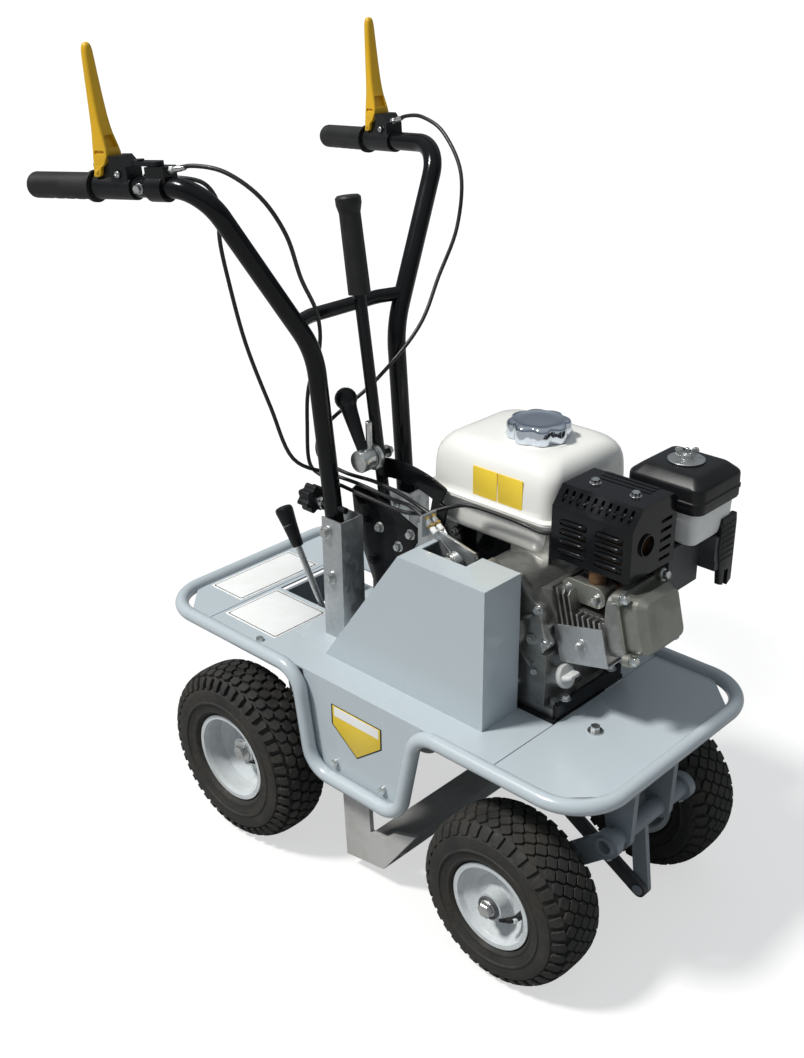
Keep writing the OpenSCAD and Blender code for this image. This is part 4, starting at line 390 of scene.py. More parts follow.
def axis_frame(origin, along):
    """A frame whose Z runs along the given direction."""
    z = Vector(along).normalized()
    ref = Vector((1, 0, 0)) if abs(z.z) > 0.95 else Vector(UP)
    x = ref.cross(z).normalized()
    m = Matrix((x, z.cross(x), z)).transposed().to_4x4()
    m.translation = origin
    return m


def edgewise(side):
    """Turns a frame on edge: X stays, Y points up and Z points to one side."""
    return Matrix(((1, 0, 0, 0), (0, 0, side, 0), (0, 1, 0, 0), (0, 0, 0, 1)))


def upright(x, y, z):
    """A frame on edge that faces the right side of the machine."""
    return Matrix.Translation(at(x, y, z)) @ edgewise(-1)


def arm_frame(side):
    """The frame of a handle arm: under the lever pin, with X forwards along the tube."""
    splay, drop = math.radians(10.5), math.radians(4.4)
    back = Vector((-math.cos(splay) * math.cos(drop), side * math.sin(splay) * math.cos(drop), -math.sin(drop)))
    m = Matrix.Rotation(-side * splay, 4, "Z") @ Matrix.Rotation(-drop, 4, "Y")
    m.translation = at(-500, side * 231, 1039) + back * 0.169
    return m


def cylinder_frame():
    """The frame of the engine's cylinder, with X along it."""
    m = Matrix.Rotation(math.radians(-14), 4, "Y")
    m.translation = at(CRANK_X, 30, CRANK_Z)
    return m


# Mesh making


def shade(mesh, angle):
    mesh.shade_smooth()
    mesh.set_sharp_from_angle(angle=math.radians(angle))


def new_piece(name, bm, finish, body, smooth=SMOOTH, bevel=0.0, replaces=()):
    """Turns a bmesh into a piece that rides on a body."""
    mesh = bpy.data.meshes.new(name)
    bmesh.ops.recalc_face_normals(bm, faces=bm.faces)
    bm.to_mesh(mesh)
    bm.free()
    obj = bpy.data.objects.new(name, mesh)
    bpy.context.scene.collection.objects.link(obj)
    shade(mesh, smooth)
    mesh.materials.append(finishes[finish])
    if bevel:
        edge = obj.modifiers.new("edge", "BEVEL")
        edge.width = bevel
        edge.segments = 2
        edge.limit_method = "ANGLE"
        edge.angle_limit = math.radians(40)
        edge.harden_normals = True
    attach(obj, body)
    if replaces:
        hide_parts(*replaces)


def turn(steps):
    """Angles of equal steps round a circle."""
    return [2 * math.pi * k / steps for k in range(steps)]


def polar(r, a):
    return r * math.cos(a), r * math.sin(a)


def loft(bm, rings, closed=False):
    """Faces between rings of equal count; the ends are capped, or joined to each other when closed."""
    rows = [[bm.verts.new(p) for p in ring] for ring in rings]
    count = len(rows[0])
    faces = []
    for low, high in zip(rows, rows[1:] + rows[:1] if closed else rows[1:]):
        for i in range(count):
            j = (i + 1) % count
            faces.append(bm.faces.new((low[i], low[j], high[j], high[i])))
    if not closed:
        bm.faces.new(list(reversed(rows[0])))
        bm.faces.new(rows[-1])
    return faces


def turned(bm, m, profile, steps):
    """A turned shape from (radius, height) in millimetres, round the Z of a frame."""
    loft(bm, [[m @ Vector((*polar(r * MM, a), h * MM)) for a in turn(steps)] for r, h in profile])


def bolt(bm, place, along, across, high, washer=0.0, washer_t=0.0):
    """A hexagon head with chamfered corners, in millimetres, on a washer if one is given."""
    m = axis_frame(place, along)
    if washer:
        r, ease = washer / 2, 0.3
        turned(bm, m, [(r - ease, 0), (r, ease), (r, washer_t - ease), (r - ease, washer_t)], 28)
    corner = across / math.sqrt(3)
    rings = []
    for share, h in ((1.0, 0.0), (1.0, high * 0.78), (0.86, high), (0.5, high * 0.93)):
        ring = []
        for a in turn(24):
            flat = across / 2 / math.cos(a % (math.pi / 3) - math.pi / 6)
            ring.append(local(m, *polar(min(flat, corner) * share, a), washer_t + h))
        rings.append(ring)
    loft(bm, rings)


def pan_screw(bm, place, along, d, high):
    """A round screw head with a cross cut into it."""
    m = axis_frame(place, along)
    rings = []
    for share, h in ((1.0, 0.0), (1.0, high * 0.35), (0.9, high * 0.75), (0.72, high * 0.96), (0.5, high),
                     (0.0, high)):
        ring = []
        for a in turn(32):
            x, y = polar(share * d / 2, a)
            arm = min(abs(x), abs(y)) < d * 0.07 and max(abs(x), abs(y)) < d * 0.4
            ring.append(local(m, x, y, h - (high * 0.5 if arm and share < 0.8 else 0.0)))
        rings.append(ring)
    loft(bm, rings)


def smooth_path(points, steps):
    """A Catmull-Rom path through the points."""
    pts = [points[0] * 2 - points[1], *points, points[-1] * 2 - points[-2]]
    path = []
    for a, b, c, d in zip(pts, pts[1:], pts[2:], pts[3:]):
        for k in range(steps):
            t = k / steps
            path.append(0.5 * (2 * b + (c - a) * t + (2 * a - 5 * b + 4 * c - d) * t * t
                               + (3 * b - a - 3 * c + d) * t ** 3))
    path.append(points[-1])
    return path


def sweep(bm, path, radius, sides=12):
    """A tube along a path; the radius may change along it."""
    rings = []
    side = None
    for i, p in enumerate(path):
        t = (path[min(i + 1, len(path) - 1)] - path[max(i - 1, 0)]).normalized()
        side = side or t.orthogonal()
        side = (side - t * side.dot(t)).normalized()
        up = t.cross(side)
        r = radius(i / (len(path) - 1)) if callable(radius) else radius
        rings.append([p + r * (math.cos(a) * side + math.sin(a) * up) for a in turn(sides)])
    loft(bm, rings)


def rounded(w, h, r, steps):
    """A rectangle with round corners, centred."""
    points = []
    for x, y, start in ((1, 1, 0), (-1, 1, 90), (-1, -1, 180), (1, -1, 270)):
        for k in range(steps + 1):
            dx, dy = polar(r, math.radians(start + 90 * k / steps))
            points.append((x * (w / 2 - r) + dx, y * (h / 2 - r) + dy))
    return points


def plate(bm, m, outline, low, high, edge):
    """An outline in millimetres with its upper edge eased."""
    cx = sum(x for x, y in outline) / len(outline)
    cy = sum(y for x, y in outline) / len(outline)
    rings = []
    for h, ease in ((low, 0.0), (high - edge, 0.0), (high - edge * 0.3, edge * 0.3), (high, edge)):
        ring = []
        for x, y in outline:
            share = 1 - ease / (math.hypot(x - cx, y - cy) or 1.0)
            ring.append(local(m, cx + (x - cx) * share, cy + (y - cy) * share, h))
        rings.append(ring)
    loft(bm, rings)


class TyreShape:
    """A tyre: a crown that carries the tread, and two side walls."""
    CROWN_STEPS = 400
    QUARTER = math.pi / 2
    # Power that makes the crown squarer than an ellipse
    SQUARE = 2 / 2.9
    # Shares of the way from the middle to the belly where the shoulder lugs begin and end
    LUGS_FROM, LUGS_TO = 0.46, 0.80
    # Share of the way from the rim to the belly, and how far the wall stands out there in metres
    WALL = ((0.86, 0.0), (0.80, 0.0016), (0.74, 0.0016), (0.68, -0.0004), (0.5, -0.001), (0.32, -0.001),
            (0.22, 0.0008), (0.16, 0.0008), (0.10, -0.0006), (0.0, -0.002))

    def __init__(self, centre, side, d, w, rim_d, rim_w, tread):
        self.bm = bmesh.new()
        self.m = axis_frame(centre, (0, side, 0))
        self.radius = d / 2
        self.half = w / 2
        self.rim_r = rim_d / 2
        self.bead = rim_w / 2 - 0.003
        self.tread = tread
        self.belly = self.rim_r + (self.radius - self.rim_r) * 0.44
        points = [self.crown(k / self.CROWN_STEPS * self.QUARTER) for k in range(self.CROWN_STEPS + 1)]
        self.lengths = [0.0]
        for p, q in zip(points, points[1:]):
            self.lengths.append(self.lengths[-1] + math.dist(p, q))

    def crown(self, a):
        """Radius and half width of the crown, from the middle to the belly a quarter turn on."""
        return (self.belly + (self.radius - self.belly) * max(math.cos(a), 0) ** self.SQUARE,
                self.half * math.sin(a) ** self.SQUARE)

    def surface(self, s):
        """Point and normal of the crown at a share of the way from the middle to the belly."""
        want = min(abs(s), 1.0) * self.lengths[-1]
        i = next(k for k, length in enumerate(self.lengths) if length >= want - 1e-12)
        a = i / self.CROWN_STEPS * self.QUARTER
        near = 0.02
        r, y = self.crown(a)
        r0, y0 = self.crown(max(a - near, 0))
        r1, y1 = self.crown(min(a + near, self.QUARTER))
        n = Vector((y1 - y0, r0 - r1)).normalized() if a > near else Vector((1, 0))
        sign = 1 if s >= 0 else -1
        return r, y * sign, n[0], n[1] * sign

    def point(self, angle, s, sink):
        r, y, nr, ny = self.surface(s)
        return self.m @ Vector((*polar(r - nr * sink, angle), y - ny * sink))

    def profile(self):
        """Half of the carcass, from the middle to the bead."""
        points = []
        for k in range(17):
            s = k / 16
            r, y, nr, ny = self.surface(s)
            fade = 1.0 if s < self.LUGS_TO - 0.04 else max(0.0, (self.LUGS_TO + 0.02 - s) / 0.06)
            points.append((r - nr * self.tread * fade, y - ny * self.tread * fade))
        low = self.rim_r + 0.001
        for share, out in self.WALL:
            swell = (self.half - self.bead) * math.sqrt(max(0.0, 1 - (1 - share) ** 2.4))
            points.append((low + (self.belly - low) * share, self.bead + swell + out))
        points.append((self.rim_r - 0.006, self.bead))
        return points

    def carcass(self):
        half = self.profile()
        whole = [(r, -y) for r, y in reversed(half)] + half[1:]
        loft(self.bm, [[self.m @ Vector((*polar(r, a), y)) for r, y in whole] for a in turn(112)], closed=True)

    def block(self, outline, taper):
        """A tread block with eased edges over an outline of (angle, share across)."""
        ca = sum(a for a, s in outline) / len(outline)
        cs = sum(s for a, s in outline) / len(outline)
        low, brow, top = ([self.bm.verts.new(self.point(ca + (a - ca) * share, cs + (s - cs) * share, sink))
                           for a, s in outline]
                          for share, sink in ((1.0, self.tread + 0.0006), (taper + 0.05, self.tread * 0.18),
                                              (taper, 0.0)))
        middle = self.bm.verts.new(self.point(ca, cs, 0.0))
        n = len(outline)
        for i in range(n):
            j = (i + 1) % n
            self.bm.faces.new((low[i], low[j], brow[j], brow[i]))
            self.bm.faces.new((brow[i], brow[j], top[j], top[i]))
            self.bm.faces.new((top[i], top[j], middle))

    def tread_blocks(self, pitches, rows, fill, lug, round_share):
        """Staggered six-sided blocks with a row of lugs on either shoulder."""
        pitch = 2 * math.pi / pitches
        gap = 2 * self.LUGS_FROM / rows
        w, high = pitch / 2 * fill, gap / (1 + round_share) * fill
        low = high * round_share
        for row in range(rows):
            s = -self.LUGS_FROM + gap * (row + 0.5)
            for k in range(pitches):
                a = (k + 0.5 * (row % 2)) * pitch
                self.block([(a + w, s + low), (a, s + high), (a - w, s + low), (a - w, s - low), (a, s - high),
                            (a + w, s - low)], 0.86)
        w = pitch / 2 * lug
        near, far = self.LUGS_FROM + 0.02, self.LUGS_TO - 0.015
        middle = (near + far) / 2
        for sign in (-1, 1):
            for k in range(pitches):
                a = (k + (0.5 if sign < 0 else 0.0)) * pitch
                outline = ((-1, near + 0.03), (0, near), (1, near + 0.03), (0.94, middle), (0.72, far),
                           (-0.72, far), (-0.94, middle))
                self.block([(a + w * share, sign * s) for share, s in outline], 0.9)


# Steps


class SODCUTTER_OT_finishes(bpy.types.Operator):
    """Makes the finishes and gives one to every part of the frame"""
    bl_idname = "sodcutter.finishes"
    bl_label = "Finishes"

    def execute(self, context):
        for key, maker in GROUP_MAKERS.items():
            groups[key] = maker()
        for name, values in FINISH_TABLE.items():
            finishes[name] = make_finish(name, context.scene.sod_colours, **values)
        for finish, names in NODE_FINISH.items():
            for name in names.split():
                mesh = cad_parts[name].data
                mesh.materials.clear()
                mesh.materials.append(finishes[finish])
                shade(mesh, SMOOTH)
        return {"FINISHED"}


class SODCUTTER_OT_tyres(bpy.types.Operator):
    """Makes the four treaded tyres"""
    bl_idname = "sodcutter.tyres"
    bl_label = "Tyres"

    def execute(self, context):
        sizes = context.scene.sod_sizes
        for side, word in SIDES:
            front = TyreShape(at(*on_side(FRONT_WHEEL, side)), side, d=0.260, w=0.102, rim_d=0.132, rim_w=0.088,
                              tread=sizes.front_tread)
            front.carcass()
            front.tread_blocks(sizes.front_pitches, rows=5, fill=0.92, lug=0.72, round_share=0.2)
            new_piece("tyre_front_" + word, front.bm, "tyre", "front_wheel_" + word, smooth=28,
                      replaces=("front_tyre_" + word,))
            rear = TyreShape(at(*on_side(REAR_WHEEL, side)), side, d=0.290, w=0.096, rim_d=0.146, rim_w=0.078,
                             tread=sizes.rear_tread)
            rear.carcass()
            rear.tread_blocks(sizes.rear_pitches, rows=4, fill=0.84, lug=0.66, round_share=0.55)
            new_piece("tyre_rear_" + word, rear.bm, "tyre", "rear_axle", smooth=28,
                      replaces=("rear_tyres",) if side < 0 else ())
        return {"FINISHED"}


CABLE_ROUTES = {
    "right": [
        (-615, -233, 1040), (-574, -219, 1043), (-538, -196, 1036), (-524, -184, 1005), (-538, -176, 960),
        (-546, -160, 900), (-540, -140, 800), (-522, -115, 700), (-492, -102, 622), (-460, -56, 592),
        (-410, -45, 586), (-340, -48, 584), (-290, -62, 592), (-258, -67, 586)],
    "left": [
        (-616, 252, 1060), (-580, 246, 1072), (-540, 240, 1074), (-490, 232, 1056), (-440, 215, 1004),
        (-425, 190, 930), (-426, 150, 862), (-422, 100, 794), (-446, 30, 722), (-484, -40, 660),
        (-484, -58, 618), (-446, -44, 596), (-385, -36, 594), (-330, -40, 592), (-285, -52, 592),
        (-258, -54, 586)],
    "throttle": [
        (-550, -240, 1058), (-514, -229, 1066), (-470, -212, 1060), (-430, -190, 1030), (-412, -165, 980),
        (-420, -135, 915), (-442, -88, 852), (-470, -60, 790), (-500, -58, 720), (-502, -62, 660),
        (-496, -66, 604), (-470, -64, 588), (-430, -55, 578), (-360, -54, 574), (-310, -54, 574),
        (-276, -47, 580), (-246, -24, 591), (-222, -6, 594), (-160, -3, 594), (-130, -3, 593), (-109, 0, 589),
        (-96, 4, 588), (-87.5, 13.5, 588), (-84.4, 27, 588), (-84.4, 60, 586), (-84.4, 90, 584),
        (-79, 108, 579), (-62, 121, 571), (-34, 126, 563), (-13, 126, 559)],
}


class SODCUTTER_OT_cables(bpy.types.Operator):
    """Makes the three control cables as smooth tubes"""
    bl_idname = "sodcutter.cables"
    bl_label = "Control cables"

    def execute(self, context):
        bm = bmesh.new()
        for route in CABLE_ROUTES.values():
            sweep(bm, smooth_path([at(*p) for p in route], 7), context.scene.sod_sizes.cable / 2)
        new_piece("control_cable_sheaths", bm, "cable", "chassis",
                  replaces=("control_cables",))
        return {"FINISHED"}


class SODCUTTER_OT_levers(bpy.types.Operator):
    """Makes the two clutch levers with a flared foot, a window and two cheeks"""
    bl_idname = "sodcutter.levers"
    bl_label = "Clutch levers"

    # Height above the pin, rear and front face, half width and corner radius, in millimetres
    rings = (
        (9.5, -4.6, 15.5, 15.5, 1.2), (15, -4.8, 19.0, 15.3, 1.6), (21, -5.0, 21.6, 14.6, 2.0),
        (29, -5.2, 20.4, 13.6, 2.4), (47, -5.0, 15.2, 11.8, 3.0), (56, -5.0, 13.4, 11.2, 3.4),
        (72, -5.2, 11.2, 10.5, 3.8), (95, -5.4, 9.4, 9.7, 4.2), (120, -5.6, 7.8, 8.8, 4.4),
        (142, -5.8, 6.8, 7.9, 4.6), (153, -5.9, 6.4, 7.3, 4.8), (158.5, -5.6, 6.0, 6.5, 4.8),
        (161.8, -4.8, 5.0, 5.2, 4.4), (163.6, -3.2, 3.2, 3.2, 2.8), (164.2, -1.4, 1.4, 1.4, 1.2))
    cheek = ((-4.6, 10.5), (-5.4, 3), (-6.0, -2.5), (-7.4, -5.6), (-6.6, -7.0), (-3.0, -7.6), (0.5, -7.4),
             (4.6, -5.8), (7.2, -1.8), (8.0, 3.4), (10.5, 6.4), (15.5, 9.0), (15.5, 10.5))

    def execute(self, context):
        for side, word in SIDES:
            m = arm_frame(side)
            m.translation = local(m, 0, 0, 22)
            bm = bmesh.new()
            self.blade(bm, m)
            for face in (-1, 1):
                plate(bm, m @ edgewise(face), self.cheek, 10.6, 15.5, 0.7)
            new_piece("clutch_lever_body_" + word, bm, "yellow_plastic", "clutch_lever_" + word, smooth=38,
                      replaces=("clutch_lever_" + word,))
        return {"FINISHED"}

    def blade(self, bm, m):
        corner = 4
        count = 4 * (corner + 1)
        faces = loft(bm, [[local(m, x + (front + rear) / 2, y, z)
                           for x, y in rounded(front - rear, half * 2, r, corner)]
                          for z, rear, front, half, r in self.rings])
        # The window is in the front of the fourth band, and a slot is in either side of the third
        window, slot = (0.0014, 0.0006, -0.0060), (0.0026, 0.0004, -0.0022)
        hollows = ((4 * count - 1, window), (2 * count + corner, slot), (2 * count + corner * 3 + 2, slot))
        bmesh.ops.recalc_face_normals(bm, faces=bm.faces)
        for index, (border, wall, depth) in hollows:
            bmesh.ops.inset_individual(bm, faces=[faces[index]], thickness=border)
            bmesh.ops.inset_individual(bm, faces=[faces[index]], thickness=wall, depth=depth)


class SODCUTTER_OT_handle_fittings(bpy.types.Operator):
    """Adds the screws, pin heads, cable barrels and knob shaft on the handle"""
    bl_idname = "sodcutter.handle_fittings"
    bl_label = "Handle fittings"

    def execute(self, context):
        bright, pins = bmesh.new(), bmesh.new()
        for side, _ in SIDES:
            m = arm_frame(side)
            for face in (-1, 1):
                out = facing(m, (0, face, 0))
                pan_screw(bright, local(m, 38.75, face * 16.6, 18.7), out, 9.4, 2.6)
                turned(pins, axis_frame(local(m, 0, face * 15.2, 22), out),
                       [(3.2, 0), (3.2, 0.7), (2.4, 1.3), (0.6, 1.5)], 24)
        m = arm_frame(-1)
        bolt(bright, local(m, 72, -13.0, 0), facing(m, RIGHT), 11.0, 6.0, 15.0, 2.2)
        for route in CABLE_ROUTES.values():
            a, b = (at(*p) for p in route[:2])
            along = (b - a).normalized()
            bolt(bright, a - along * 0.002, along, 9.6, 7.0)
            turned(bright, axis_frame(a + along * 0.005, along),
                   [(4.3, 0), (4.3, 13), (3.7, 14), (3.7, 19), (3.2, 20)], 24)
        self.knob_shaft()
        new_piece("handle_screws", bright, "zinc", "chassis")
        new_piece("lever_pin_heads", pins, "yellow_plastic", "chassis")
        return {"FINISHED"}

    def knob_shaft(self):
        bm = bmesh.new()
        m = axis_frame(at(-405.4, -78.5, 554), (-1, 0, 0))
        turned(bm, m, [(5.2, 30), (5.2, 63)], 24)
        bolt(bm, local(m, 0, 0, 43.8), (-1, 0, 0), 17.8, 7.6, 22.0, 1.6)
        new_piece("star_knob_shaft", bm, "zinc", "star_knob")


class SODCUTTER_OT_knobs(bpy.types.Operator):
    """Adds the moulded gear knob on its rod, and the plated parts of the clamp lever"""
    bl_idname = "sodcutter.knobs"
    bl_label = "Knobs"

    def execute(self, context):
        bm = bmesh.new()
        tilt = math.radians(29)
        m = axis_frame(at(-484, -33, 272), (-math.sin(tilt), 0, math.cos(tilt)))
        turned(bm, m, [(7.2, 175), (9.2, 176), (9.8, 179), (10.4, 192), (12.2, 214), (14.4, 233), (14.9, 238),
                       (14.2, 242), (11.6, 244.6), (6.5, 245.8), (1.0, 246.2)], 36)
        new_piece("gear_knob", bm, "black_plastic", "gear_lever")
        bm = bmesh.new()
        turned(bm, m, [(4.0, 60), (5.4, 61), (5.5, 120), (5.5, 174), (6.6, 174.4), (6.6, 177)], 28)
        new_piece("gear_rod", bm, "zinc", "gear_lever")
        self.clamp(-395.3, 629.7)
        return {"FINISHED"}

    def clamp(self, x, z):
        """The cam, the sleeve, the rod and the nut on the pivot of the clamp lever."""
        bm = bmesh.new()
        turned(bm, axis_frame(at(x, -25.2, z), RIGHT),
               [(19.0, -0.2), (20.3, 0.6), (20.3, 6.6), (19.0, 7.4), (9.6, 7.4), (9.4, 16.6), (8.6, 17.0)], 40)
        turned(bm, axis_frame(at(x, -34, z), RIGHT),
               [(12, 0), (16.0, 0.8), (16.9, 2.4), (16.9, 24), (15.6, 26.6), (9, 27.6), (2, 27.8)], 40)
        sweep(bm, [at(x, -36.9, z + h) for h in (2, 20, 40, 57, 58.4)],
              lambda t: 0.00485 if t < 0.95 else 0.0036, 20)
        bolt(bm, at(x, 0.2, z), (0, 1, 0), 12.6, 7.4, 20.0, 1.4)
        new_piece("clamp_eye_bolt", bm, "zinc", "clamp_lever")


class SODCUTTER_OT_tank(bpy.types.Operator):
    """Makes the pressed fuel tank with its seam, a black sheet of painted shade below its rear end, and the
    lobed filler cap
    """
    bl_idname = "sodcutter.tank"
    bl_label = "Fuel tank"

    length, width = 226, 190
    # Inset from the tank's side and height above its seam, in millimetres
    rings = (
        (40, -60.0), (27, -59.5), (17, -57.6), (11, -54.0), (7.4, -48.5), (5.6, -40.0), (4.6, -28.0),
        (4.0, -14.0), (3.2, -1.0), (1.5, -0.5), (-6.2, -0.5), (-7.0, 0.3), (-7.0, 2.0), (-6.3, 2.5),
        (-7.0, 3.0), (-7.0, 4.5), (-6.2, 5.2), (-0.8, 5.4), (0.0, 6.4), (0.0, 16), (0.2, 30), (0.8, 44),
        (2.0, 55), (4.4, 64), (8.2, 71.5), (13.2, 77.4), (19.2, 81.4), (26.0, 83.8), (34.0, 84.8),
        (46.0, 85.2), (62, 85.5))
    # Share of the cap's radius, depth of the lobes and height, from the skirt over the rim to the middle
    cap_rings = (
        (0.93, 1.0, 1.2), (0.985, 1.0, 1.6), (1.0, 1.0, 3.4), (1.0, 1.0, 20.0), (0.985, 1.0, 23.2),
        (0.95, 0.9, 25.4), (0.90, 0.7, 26.6), (0.84, 0.45, 27.0), (0.79, 0.2, 26.9), (0.755, 0.0, 26.2),
        (0.72, 0.0, 25.6), (0.5, 0.0, 25.8), (0.25, 0.0, 26.0), (0.02, 0.0, 26.0))
    # Outline of the black sheet that stands in for the shade below the tank
    shade_sheet_outline = ((-314, 514), (-298, 494), (-262, 466), (-240, 466), (-178, 500), (-178, 550), (-314, 550))

    def execute(self, context):
        bm = bmesh.new()
        m = Matrix.Translation(at(-206, 105, 594))
        rings = []
        for inset, z in self.rings:
            w, h = self.length - inset * 2, self.width - inset * 2
            r = min(25 + min(max(inset, -4), 24) * 0.4, h / 2 - 1)
            # The floor of the tank rises towards the far side
            rings.append([local(m, x, y, z * (1 - 0.25 * (1 + y * 2 / self.width)) if z < -0.5 else z)
                          for x, y in rounded(w, h, r, 9)])
        loft(bm, rings)
        turned(bm, Matrix.Translation(at(FILLER_X, FILLER_Y, 678.0)),
               [(51, 0), (50.5, 1.6), (48.5, 2.4), (31, 2.4), (30, 3.0), (30, 11)], 64)
        new_piece("fuel_tank_shell", bm, "tank_white", "chassis", smooth=44, replaces=("fuel_tank",))
        self.shade_sheet()
        self.cap()
        return {"FINISHED"}

    def shade_sheet(self):
        """A black sheet with two bolts below the tank's rear end: painted shade that fills the gap between the
        tank and the cover.
        """
        bm = bmesh.new()
        # A dark sheet put where there is only shade, so that the floor does not show through the gap
        plate(bm, upright(0, 42, 0), self.shade_sheet_outline, 0, 3, 0.6)
        new_piece("shade_sheet_under_tank", bm, "black_paint", "chassis")
        bm = bmesh.new()
        for x, z in ((-292, 516), (-252, 484)):
            bolt(bm, at(x, 39, z), RIGHT, 9.8, 5.4, 15.0, 1.0)
        new_piece("shade_sheet_bolts", bm, "zinc", "chassis")

    def cap(self):
        bm = bmesh.new()
        m = Matrix.Translation(at(FILLER_X, FILLER_Y, 679.9))
        rings = []
        for share, lobe, z in self.cap_rings:
            ring = []
            for a in turn(96):
                wave = math.cos(8 * a)
                ring.append(local(m, *polar(share * (44.6 + lobe * (3.0 * wave - wave * wave)), a), z))
            rings.append(ring)
        loft(bm, rings)
        new_piece("fuel_cap_shell", bm, "chrome", "fuel_cap", smooth=50, replaces=("fuel_cap",))


class SODCUTTER_OT_engine_fittings(bpy.types.Operator):
    """Adds the engine's bolts, guard pressings, control bracket, air cleaner, filler cap and castings"""
    bl_idname = "sodcutter.engine_fittings"
    bl_label = "Engine fittings"

    bracket_outline = ((186, 612), (222, 612), (224, 600), (224, 506), (214, 500), (213, 526), (203, 527),
                       (202, 504), (192, 508), (188, 540), (182, 566))
    # Inset from the lid's side and height above the ground, in millimetres
    lid = ((8, 624), (3, 624.3), (1, 625.4), (0, 628), (0, 639), (-1.3, 640), (-1.3, 643), (0, 644), (0.2, 659),
           (1.0, 662), (3.0, 664.5), (13, 673), (16, 675.2), (20, 676.4), (30, 676.8), (48, 677))
    bowl = ((27, 572), (19, 572.5), (14, 574), (11, 577), (9, 584), (7.4, 600), (6.6, 624), (6.6, 630))
    # Angles of the bosses round the crankcase rim, in degrees; the first four carry a bolt
    bosses = (0, 33, -34, -62, 66, 100, 140, 180, 215, 250)

    def execute(self, context):
        self.bolts()
        self.guard()
        self.bracket()
        self.air_cleaner()
        self.wing_nut()
        self.oil_cap()
        self.casting()
        return {"FINISHED"}

    def bolts(self):
        bm = bmesh.new()
        for x in (-47.5, 17.5):
            bolt(bm, at(x, 46.5, 664), UP, 10.9, 5.4, 17.0, 0.8)
        for x in (-30, 10):
            bolt(bm, at(x, 26, 520), RIGHT, 9.8, 7.4, 15.0, 1.2)
        m = cylinder_frame()
        for y in (-48, 48):
            for z in (-44, 44):
                bolt(bm, local(m, 202, y, z), facing(m, (1, 0, 0)), 11.6, 7.6, 16.5, 0.8)
        bolt(bm, local(m, 126.5, -59.2, -28.2), facing(m, RIGHT), 11.2, 6.6)
        for y in (-30, 78):
            bolt(bm, at(-25, y, 366.4), UP, 11.0, 6.0, 17.0, 1.2)
        new_piece("engine_bolts", bm, "zinc", "chassis")
        bm = bmesh.new()
        bar = ((-28, 345.5), (-22, 345.5), (-22, 364), (-23.5, 366), (-28, 366))
        loft(bm, [[at(x, y, z) for x, z in bar] for y in (-54, 102)])
        new_piece("engine_foot_bar", bm, "black_paint", "chassis", bevel=0.0008)

    def guard(self):
        """Lips round the vents and hoods over the louvres of the muffler guard."""
        bm = bmesh.new()
        for i in range(1, 11):
            turned(bm, axis_frame(at(-80 + 130 * i / 11, 6, 651), (0, -26, 22)),
                   [(2.6, -1.0), (2.5, 0.5), (3.0, 1.2), (3.7, 0.9), (4.3, -0.4)], 20)
        hood = ((0.5, -5.2), (4, -6.4), (10, -6.9), (34, -6.9), (40, -6.4), (43.5, -5.2))
        for x in (-66, -8):
            for row in range(4):
                sweep(bm, [at(x + dx, y, 578.6 + row * 14) for dx, y in hood],
                      lambda t: 0.0012 + 0.0016 * math.sin(math.pi * t) ** 0.5)
        new_piece("guard_pressings", bm, "black_paint", "chassis")

    def bracket(self):
        """The upright control bracket beside the air cleaner, with its ribs."""
        bm = bmesh.new()
        m = Matrix(((0, 0, 1, 0), (1, 0, 0, 0), (0, 1, 0, 0), (0, 0, 0, 1)))
        m.translation = at(70.4, 0, -14)
        plate(bm, m, self.bracket_outline, -6, 1.6, 0.8)
        for k in range(7):
            sweep(bm, [at(72, y, 532 + k * 9) for y in (188, 190, 218, 221)], 0.0012, 8)
        new_piece("control_bracket", bm, "black_plastic", "chassis")

    def air_cleaner(self):
        for name, rings, finish, node in (("air_cleaner_lid", self.lid, "black_plastic", "air_cleaner_cover"),
                                          ("air_cleaner_bowl", self.bowl, "white_plastic", "air_cleaner_base")):
            bm = bmesh.new()
            loft(bm, [[at(15.3 + x, STUD_Y + y, z)
                       for x, y in rounded(121 - inset * 2, 114 - inset * 2, max(16 - inset * 0.4, 5), 8)]
                      for inset, z in rings])
            new_piece(name, bm, finish, "chassis", smooth=24, replaces=(node,))
        bm = bmesh.new()
        turned(bm, Matrix.Translation(at(STUD_X, STUD_Y, 0)), [(3, 673), (3, 694), (2.2, 695)], 20)
        new_piece("air_cleaner_stud", bm, "zinc", "chassis")

    def wing_nut(self):
        bm = bmesh.new()
        m = Matrix.Translation(at(STUD_X, STUD_Y, WING_NUT_Z))
        turned(bm, m, [(25.4, 0), (26, 0.7), (26, 1.9), (25.2, 2.5), (9, 3.3), (8.2, 3.4), (8.0, 8.5),
                       (6.6, 10.5), (4.4, 11.0)], 48)
        wing = m @ Matrix.Rotation(math.radians(35), 4, "Z")
        for side in (-1, 1):
            lean = math.radians(28) * side
            rings = []
            for y, swell in ((-1.9, 0.86), (-1.2, 1.0), (1.2, 1.0), (1.9, 0.86)):
                ring = []
                for a in turn(24):
                    x, z = 5.4 * swell * math.cos(a), 7.0 * swell * math.sin(a)
                    ring.append(local(wing, side * 10.6 + x * math.cos(lean) + z * math.sin(lean), y,
                                      12.4 - x * math.sin(lean) + z * math.cos(lean)))
                rings.append(ring)
            loft(bm, rings)
        new_piece("wing_nut_body", bm, "zinc", "wing_nut", replaces=("wing_nut",))

